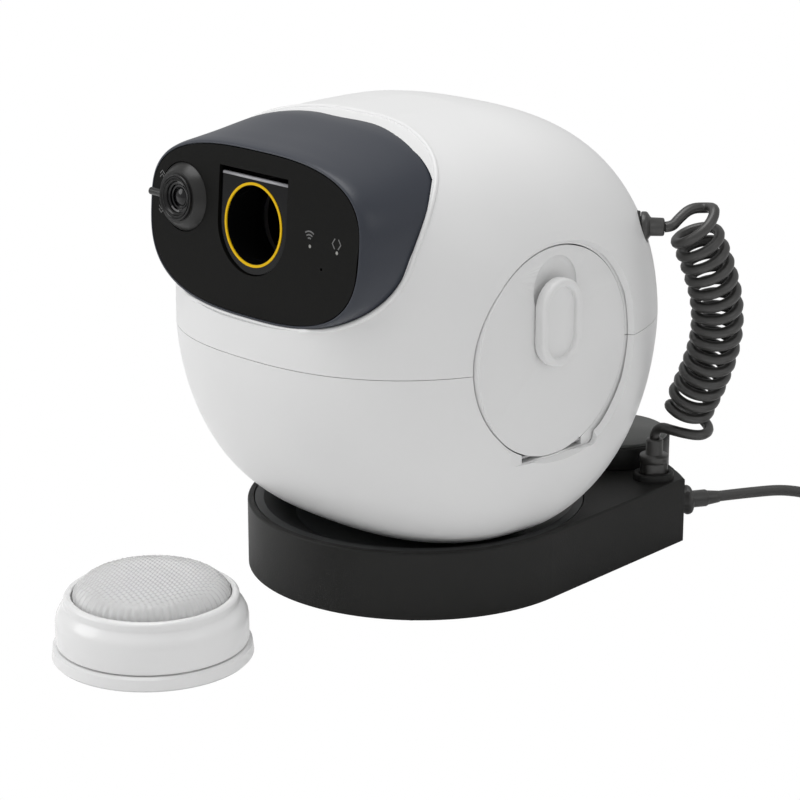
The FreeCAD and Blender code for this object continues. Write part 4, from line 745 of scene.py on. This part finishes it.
def make_button_dome():
    """The clear dome: a prismatic top, a fluted side and a plain inside."""
    turns = round_turn(FLUTES * FLUTE_POINTS)
    rings = [outer_dome_ring(radius, height, turns if radius > 0 else turns[:1])
             for radius, height in dome_profile()]
    inner = [(DOME_RADIUS - DOME_WALL, DOME_LOW)]
    for step in range(INNER_RINGS + 1):
        radius = (DOME_RADIUS - DOME_WALL - 0.2) * (1 - step / INNER_RINGS)
        inner.append((radius, dome_height(radius + 2.0) - DOME_WALL))
    for radius, height in inner:
        rings.append([(radius * math.cos(turn), radius * math.sin(turn), height)
                      for turn in (turns if radius > 1e-6 else turns[:1])])
    build = bmesh.new()
    rings = [[build.verts.new(in_metres(BUTTON, spot)) for spot in ring] for ring in rings]
    for low, high in zip(rings, rings[1:]):
        bridge(build, low, high)
    mesh = built_mesh(build, "button_dome_clear")
    dome = piece("button_dome_clear", mesh, "dome_clear", "button")
    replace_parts(dome, "button_dome")


# ---------------------------------------------------------------- the camera's lens, the nozzle

# The eye's centre on the face plane, to the left of the middle and above it.
EYE_OFFSET, EYE_HEIGHT = 47.7, 5.5
# Radius and depth pairs from the middle of the glass outwards and round to its back.
LENS_PROFILE = [(0.0, -3.1), (1.2, -3.03), (2.4, -2.8), (3.4, -2.42), (4.1, -1.95), (4.3, -1.2),
                (4.7, -1.2), (4.8, -2.3), (5.5, -2.4), (5.6, -1.7), (6.1, -1.7), (6.2, -3.0),
                (7.0, -3.3), (7.3, -3.2), (7.3, 1.2), (0.0, 1.2)]
# The same for the ring, from its back along the outside and home along the inside.
RING_PROFILE = [(8.4, 3.4), (8.4, -4.15), (10.8, -4.15), (11.0, -4.4), (11.0, -5.2), (10.8, -5.55),
                (10.4, -5.6), (10.0, -5.3), (9.6, -4.7), (9.3, -4.7), (9.2, -5.1), (8.8, -5.1),
                (8.6, -4.4), (7.9, -3.8), (7.6, -3.8), (7.4, -3.3), (7.4, 3.4)]


def make_lens():
    """The eye's stepped black barrel round a small domed glass, and the ring that holds it."""
    place = (FACE @ Matrix.Translation((-EYE_OFFSET, 0, EYE_HEIGHT))
             @ Matrix.Rotation(math.radians(-90), 4, "X"))
    glass = lathe_mesh("lens_stack", LENS_PROFILE, 72, place)
    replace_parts(piece("lens_stack", glass, "lens_glass", "eye"), "camera_lens")
    ring = lathe_mesh("lens_ring_turned", RING_PROFILE, 96, place, closed=True)
    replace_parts(piece("lens_ring_turned", ring, "lens_black", "eye"), "lens_ring")
    for mesh in (glass, ring):
        mesh.set_sharp_from_angle(angle=math.radians(35))


def make_nozzle_highlight_bar():
    """A pale rounded bar along the top of the nozzle's dark plate: a painted highlight where the
    plate's top edge catches the light.
    """
    across = (-22.1, -22.0, -11.0, 0.0, 11.0, 22.0, 22.1)
    points = [in_metres(FACE, (x, 1.95, 21.1)) for x in across]
    radii = [0.3 * MM] + [0.9 * MM] * (len(across) - 2) + [0.3 * MM]
    piece("nozzle_highlight_bar", tube_mesh("nozzle_highlight_bar", points, radii, 16), "painted_highlight_grey", "nozzle")


# ---------------------------------------------------------------- marks on the face

# How far the strokes stand out of the face panel and how far they go into it.
MARK_RISE, MARK_ROOT = 0.05, 0.12


def flat_marks(name, strips):
    """Thin raised strokes on the face: each strip is a list of points and a half width."""
    build = bmesh.new()
    for points, half in strips:
        points = [Vector(p) for p in points]
        left, right = [], []
        for i, point in enumerate(points):
            ahead = points[min(i + 1, len(points) - 1)] - points[max(i - 1, 0)]
            across = Vector((-ahead.y, ahead.x)).normalized() * half
            left.append(point + across)
            right.append(point - across)
        outline = left + list(reversed(right))
        front = [build.verts.new(in_metres(FACE, (p.x, -MARK_RISE, p.y))) for p in outline]
        back = [build.verts.new(in_metres(FACE, (p.x, MARK_ROOT, p.y))) for p in outline]
        count, last = len(outline), len(points) - 1
        for i in range(last):
            a, b = i, i + 1
            c, d = count - 2 - i, count - 1 - i
            build.faces.new((front[a], front[b], front[c], front[d]))
            build.faces.new((back[d], back[c], back[b], back[a]))
        for i in range(count):
            n = (i + 1) % count
            build.faces.new((front[n], front[i], back[i], back[n]))
    mesh = built_mesh(build, name)
    piece(name, mesh, "mark_grey", "head")
    for polygon in mesh.polygons:
        polygon.use_smooth = False


def arc_points(centre, radius, start, end, steps=14):
    """Points along an arc between two angles in degrees."""
    return [(centre[0] + radius * math.cos(a), centre[1] + radius * math.sin(a))
            for a in (math.radians(start + (end - start) * k / steps) for k in range(steps + 1))]


def make_face_marks():
    """The signal icon, the pair of arrow heads beside it and the chevrons by the lever."""
    strips = []
    for radius in (1.5, 3.0, 4.5):
        strips.append((arc_points((38.6, -0.6), radius, 52, 128), 0.33))
    strips.append(([(55.0, 3.4), (53.4, 1.1), (55.0, -1.2)], 0.3))
    strips.append(([(57.2, 3.4), (58.8, 1.1), (57.2, -1.2)], 0.3))
    flat_marks("signal_marks", strips)
    levers = []
    for height, way in ((13.0, 1), (-2.2, -1)):
        for shift in (0.0, 1.7):
            base = height + way * shift
            levers.append(([(-65.0, base - way * 0.9), (-63.4, base + way * 0.7),
                            (-61.8, base - way * 0.9)], 0.24))
    flat_marks("lever_marks", levers)


# ---------------------------------------------------------------- ribs, ties and sleeves

def ribbed_sleeve_tree():
    """A soft sleeve along X: a tapered core with evenly spaced rings round it."""
    tree = bpy.data.node_groups.new("ribbed_sleeve", "GeometryNodeTree")
    face = tree.interface
    for name in ("Length", "Start Radius", "End Radius", "Rib Radius"):
        face.new_socket(name, in_out="INPUT", socket_type="NodeSocketFloat")
    face.new_socket("Ribs", in_out="INPUT", socket_type="NodeSocketInt")
    face.new_socket("Material", in_out="INPUT", socket_type="NodeSocketMaterial")
    face.new_socket("Geometry", in_out="OUTPUT", socket_type="NodeSocketGeometry")
    start, end = tree.nodes.new("NodeGroupInput"), tree.nodes.new("NodeGroupOutput")
    link = tree.links.new

    core = add_node(tree, "GeometryNodeMeshCone", Vertices=32, Side_Segments=6)
    link(start.outputs["Start Radius"], core.inputs["Radius Bottom"])
    link(start.outputs["End Radius"], core.inputs["Radius Top"])
    link(start.outputs["Length"], core.inputs["Depth"])

    path = add_node(tree, "GeometryNodeCurvePrimitiveCircle", Resolution=32, Radius=1.0)
    round_rib = add_node(tree, "GeometryNodeCurvePrimitiveCircle", Resolution=8)
    link(start.outputs["Rib Radius"], round_rib.inputs["Radius"])

    # The first rib stands at a tenth of the length and the last at nine tenths.
    row = add_node(tree, "GeometryNodeMeshLine", mode="END_POINTS")
    link(start.outputs["Ribs"], row.inputs["Count"])
    for share, socket in ((0.1, "Start Location"), (0.9, 3)):
        height = add_node(tree, "ShaderNodeMath", operation="MULTIPLY")
        height.inputs[1].default_value = share
        spot = tree.nodes.new("ShaderNodeCombineXYZ")
        link(start.outputs["Length"], height.inputs[0])
        link(height.outputs[0], spot.inputs["Z"])
        link(spot.outputs[0], row.inputs[socket])

    along = tree.nodes.new("GeometryNodeInputPosition")
    split = tree.nodes.new("ShaderNodeSeparateXYZ")
    link(along.outputs[0], split.inputs[0])
    radius = tree.nodes.new("ShaderNodeMapRange")
    link(split.outputs["Z"], radius.inputs["Value"])
    link(start.outputs["Length"], radius.inputs["From Max"])
    link(start.outputs["Start Radius"], radius.inputs["To Min"])
    link(start.outputs["End Radius"], radius.inputs["To Max"])

    placed = tree.nodes.new("GeometryNodeInstanceOnPoints")
    link(row.outputs[0], placed.inputs["Points"])
    link(path.outputs[0], placed.inputs["Instance"])
    size = tree.nodes.new("ShaderNodeCombineXYZ")
    for axis in "XYZ":
        link(radius.outputs["Result"], size.inputs[axis])
    link(size.outputs[0], placed.inputs["Scale"])
    loose = tree.nodes.new("GeometryNodeRealizeInstances")
    link(placed.outputs[0], loose.inputs[0])
    ribs = tree.nodes.new("GeometryNodeCurveToMesh")
    link(loose.outputs[0], ribs.inputs["Curve"])
    link(round_rib.outputs[0], ribs.inputs["Profile Curve"])

    both = tree.nodes.new("GeometryNodeJoinGeometry")
    link(core.outputs["Mesh"], both.inputs[0])
    link(ribs.outputs[0], both.inputs[0])
    real = tree.nodes.new("GeometryNodeRealizeInstances")
    link(both.outputs[0], real.inputs[0])
    dress = tree.nodes.new("GeometryNodeSetMaterial")
    link(real.outputs[0], dress.inputs["Geometry"])
    link(start.outputs["Material"], dress.inputs["Material"])
    link(dress.outputs[0], end.inputs["Geometry"])
    return tree


def grown_mesh(name, tree, values):
    """The plain mesh that a node tree makes with the given inputs."""
    holder = bpy.data.objects.new(name, bpy.data.meshes.new(name + "_seed"))
    bpy.context.scene.collection.objects.link(holder)
    modifier = holder.modifiers.new(name, "NODES")
    modifier.node_group = tree
    for item in tree.interface.items_tree:
        if item.item_type == "SOCKET" and item.in_out == "INPUT" and item.name in values:
            modifier[item.identifier] = values[item.name]
    bpy.context.view_layer.update()
    graph = bpy.context.evaluated_depsgraph_get()
    mesh = bpy.data.meshes.new_from_object(holder.evaluated_get(graph))
    holder.modifiers.clear()
    bpy.data.objects.remove(holder)
    mesh.name = name
    return mesh


RIB_RADIUS = 0.45


def make_sleeve(tree, name, start, direction, length, radii, ribs, finish, body):
    """A strain relief from a point, along a direction, in millimetres."""
    mesh = grown_mesh(name, tree, {
        "Length": length * MM, "Start Radius": radii[0] * MM, "End Radius": radii[1] * MM,
        "Rib Radius": RIB_RADIUS * MM, "Ribs": ribs, "Material": FINISH[finish]})
    turn = Vector(direction).normalized().to_track_quat("Z", "Y").to_matrix().to_4x4()
    mesh.transform(Matrix.Translation(Vector(start) * MM) @ turn)
    piece(name, mesh, finish, body)


def make_sleeves():
    """The smooth sleeve where the power cord leaves its plug and the ribbed one at its end."""
    tree = ribbed_sleeve_tree()
    make_sleeve(tree, "power_cord_relief", (41.9, 146.1, 17.5), (0.2756, 0.9613, 0), 9.0,
                (4.1, 3.0), 0, "cord_grey", "base")
    make_sleeve(tree, "connector_relief", (169.2, 213.1, 3.8), (-0.516, 0.857, -0.028), 14.0,
                (3.3, 2.9), 6, "rubber_black", "base")


def stack_mesh(name, sections, place, looped=False, steps=56):
    """A smooth stack of round-ended sections: half length, half width and height each."""
    build = bmesh.new()
    rings = []
    for half_length, half_width, height in sections:
        ring = []
        for turn in round_turn(steps):
            shift = (half_length - half_width) * (1 if math.cos(turn) > 0 else -1)
            ring.append(build.verts.new(in_metres(place, (
                shift + half_width * math.cos(turn), half_width * math.sin(turn), height))))
        rings.append(ring)
    if not looped:
        cap_ends(build, rings)
    for low, high in zip(rings, rings[1:] + rings[:1] if looped else rings[1:]):
        bridge(build, low, high)
    return built_mesh(build, name)


def axis_place(frame_matrix, angle, height):
    """Puts a stack's height along a level axis that leaves the turning axis at an angle."""
    return (frame_matrix @ Matrix.Translation((0, 0, height))
            @ Matrix.Rotation(math.radians(angle), 4, "Z")
            @ Matrix.Rotation(math.radians(90), 4, "Y"))


def make_fittings():
    """The sockets and plugs of both cords, with their moulded edges."""
    across, back, _ = BASE_PLUG_TOP
    upright = (Matrix.Translation((across, back, 0))
               @ Matrix.Rotation(math.atan2(back, across), 4, "Z"))
    on_head = axis_place(HEAD, 40, HEAD_PLUG_END[2])
    rows = [
        ("cord_socket", "base_dark", "base", upright, True,
         [(8.5, 6.3, 30.0), (8.5, 6.3, 35.0), (10.25, 8.0, 35.0), (10.25, 8.0, 37.8),
          (10.0, 7.75, 38.4), (9.5, 7.25, 38.6), (8.0, 6.0, 38.6), (7.55, 5.55, 38.3),
          (7.4, 5.4, 37.7), (7.4, 5.4, 33.0)]),
        ("base_cord_plug", "cord_grey", "base", upright, False,
         [(7.1, 5.1, 33.2), (7.1, 5.1, 43.6), (7.1, 6.6, 43.9), (7.4, 7.4, 44.5),
          (7.4, 7.4, 47.1), (7.1, 7.1, 47.7), (4.8, 4.8, 47.9), (4.35, 4.35, 48.4),
          (4.3, 4.3, 55.2), (4.0, 4.0, 55.9), (3.0, 3.0, 56.1)]),
        ("power_plug", "cord_grey", "base", axis_place(Matrix(), 73.99, 17.5), False,
         [(4.1, 4.1, 128.0), (4.1, 4.1, 136.8), (5.0, 5.0, 137.0), (5.5, 5.5, 137.6),
          (6.0, 6.0, 139.8), (7.0, 7.0, 141.8), (7.6, 7.6, 142.8), (7.6, 7.6, 143.9),
          (7.2, 7.2, 144.7), (5.6, 5.6, 145.0), (4.6, 4.6, 145.3), (4.4, 4.4, 146.0),
          (4.4, 4.4, 153.5), (4.1, 4.1, 154.2), (3.2, 3.2, 154.5)]),
        ("head_socket", "rubber_black", "head", on_head, True,
         [(5.3, 5.3, 99.0), (7.6, 7.6, 96.0), (7.6, 7.6, 105.2), (7.3, 7.3, 105.8),
          (6.8, 6.8, 105.9), (5.6, 5.6, 105.9), (5.3, 5.3, 105.5)]),
        ("head_cord_plug", "cord_grey", "head", on_head, False,
         [(5.0, 5.0, 99.4), (5.0, 5.0, 106.0), (6.9, 6.9, 106.1), (7.25, 7.25, 106.6),
          (7.25, 7.25, 108.4), (6.8, 6.8, 109.2), (5.2, 5.2, 110.3), (4.5, 4.5, 110.9),
          (4.4, 4.4, 116.4), (4.1, 4.1, 117.1), (3.2, 3.2, 117.4)]),
    ]
    for name, finish, body, place, looped, sections in rows:
        mesh = stack_mesh(name + "_soft", sections, place, looped)
        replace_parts(piece(name + "_soft", mesh, finish, body), name)
        mesh.set_sharp_from_angle(angle=math.radians(60))


# The strap's place round the coil in degrees, its inside and its outside over the bundle, half
# its width, how far it bulges, and its steps round.
TIE_ANGLE, TIE_INSIDE, TIE_OUTSIDE, TIE_HALF, TIE_BULGE, TIE_STEPS = 40, 2.85, 3.65, 3.5, 0.15, 48


def make_coil_tie():
    """A soft strap round the put-away turns, flat where it lies on the floor."""
    around = math.radians(TIE_ANGLE)
    centre = Vector((COIL_CENTRE[0] + COIL_RADIUS * math.cos(around),
                     COIL_CENTRE[1] + COIL_RADIUS * math.sin(around), COIL_CENTRE[2]))
    outwards = Vector((math.cos(around), math.sin(around), 0))
    upwards, along = Vector((0, 0, 1)), Vector((-math.sin(around), math.cos(around), 0))
    build = bmesh.new()
    rings = []
    inner, outer = BUNDLE_RADIUS + TIE_INSIDE, BUNDLE_RADIUS + TIE_OUTSIDE
    section = [(inner, -TIE_HALF), (outer, -TIE_HALF), (outer + TIE_BULGE, 0), (outer, TIE_HALF),
               (inner, TIE_HALF)]
    for turn in round_turn(TIE_STEPS):
        ray = outwards * math.cos(turn) + upwards * math.sin(turn)
        ring = []
        for radius, offset in section:
            spot = centre + ray * radius + along * offset
            spot.z = max(spot.z, 0.05 if radius < outer else 0.0)
            ring.append(build.verts.new(spot * MM))
        rings.append(ring)
    for low, high in zip(rings, rings[1:] + rings[:1]):
        bridge(build, low, high)
    piece("coil_tie", built_mesh(build, "coil_tie"), "rubber_black", "base")


# ---------------------------------------------------------------- floor and light

FLOOR_HALF = 6.0


def make_stage():
    """A pale floor that takes shadows from the lamps but looks plain white to the camera."""
    mesh = bpy.data.meshes.new("floor")
    mesh.from_pydata([(x * FLOOR_HALF, y * FLOOR_HALF, 0)
                      for x, y in ((-1, -1), (1, -1), (1, 1), (-1, 1))], [], [(0, 1, 2, 3)])
    floor = bpy.data.objects.new("floor", mesh)
    bpy.context.scene.collection.objects.link(floor)
    material = bpy.data.materials.new("floor_white")
    material.use_nodes = True
    tree = material.node_tree
    shader = tree.nodes["Principled BSDF"]
    shader.inputs["Base Color"].default_value = (0.93, 0.93, 0.93, 1)
    shader.inputs["Roughness"].default_value = 0.9
    shader.inputs["Specular IOR Level"].default_value = 0.1
    glow = add_node(tree, "ShaderNodeEmission", Strength=1.0)
    path = tree.nodes.new("ShaderNodeLightPath")
    mix = tree.nodes.new("ShaderNodeMixShader")
    tree.links.new(path.outputs["Is Camera Ray"], mix.inputs[0])
    tree.links.new(shader.outputs[0], mix.inputs[1])
    tree.links.new(glow.outputs[0], mix.inputs[2])
    tree.links.new(mix.outputs[0], tree.nodes["Material Output"].inputs["Surface"])
    mesh.materials.append(material)


def area_light(name, place, target, size, power):
    """A round lamp that faces a target."""
    data = bpy.data.lights.new(name, "AREA")
    data.shape = "DISK"
    data.size = size
    data.energy = power
    lamp = bpy.data.objects.new(name, data)
    lamp.location = place
    direction = Vector(target) - Vector(place)
    lamp.rotation_mode = "QUATERNION"
    lamp.rotation_quaternion = direction.to_track_quat("-Z", "Y")
    bpy.context.scene.collection.objects.link(lamp)


# How bright the white surroundings are to the object; to the camera they are plain white.
WORLD_FILL = 0.51


def make_light():
    """White surroundings and three round lamps."""
    world = bpy.data.worlds.new("studio")
    world.use_nodes = True
    bpy.context.scene.world = world
    tree = world.node_tree
    back = tree.nodes["Background"]
    back.inputs["Color"].default_value = (1, 1, 1, 1)
    path = tree.nodes.new("ShaderNodeLightPath")
    seen = add_node(tree, "ShaderNodeMath", operation="MAXIMUM")
    tree.links.new(path.outputs["Is Camera Ray"], seen.inputs[0])
    tree.links.new(path.outputs["Is Transmission Ray"], seen.inputs[1])
    level = add_node(tree, "ShaderNodeMapRange", To_Min=WORLD_FILL, To_Max=1.0)
    tree.links.new(seen.outputs[0], level.inputs["Value"])
    tree.links.new(level.outputs[0], back.inputs["Strength"])
    area_light("overhead", (-0.1, -0.2, 1.3), (0, 0, 0.1), 1.0, 7.0)
    area_light("left_front", (-0.6, -1.2, 0.7), (0, 0, 0.12), 0.8, 3.9)
    area_light("right_side", (1.2, 0.45, 0.75), (0.05, 0.02, 0.14), 0.7, 0.9)


# ---------------------------------------------------------------- make everything

bpy.context.scene.view_settings.view_transform = "Standard"
make_camera()
make_curly_cord()
make_power_cord()
dress_frame()
make_opening_lip()
make_snout()
make_soft_edges()
make_button_dome()
make_lens()
make_nozzle_highlight_bar()
make_face_marks()
make_sleeves()
make_fittings()
make_coil_tie()
make_stage()
make_light()
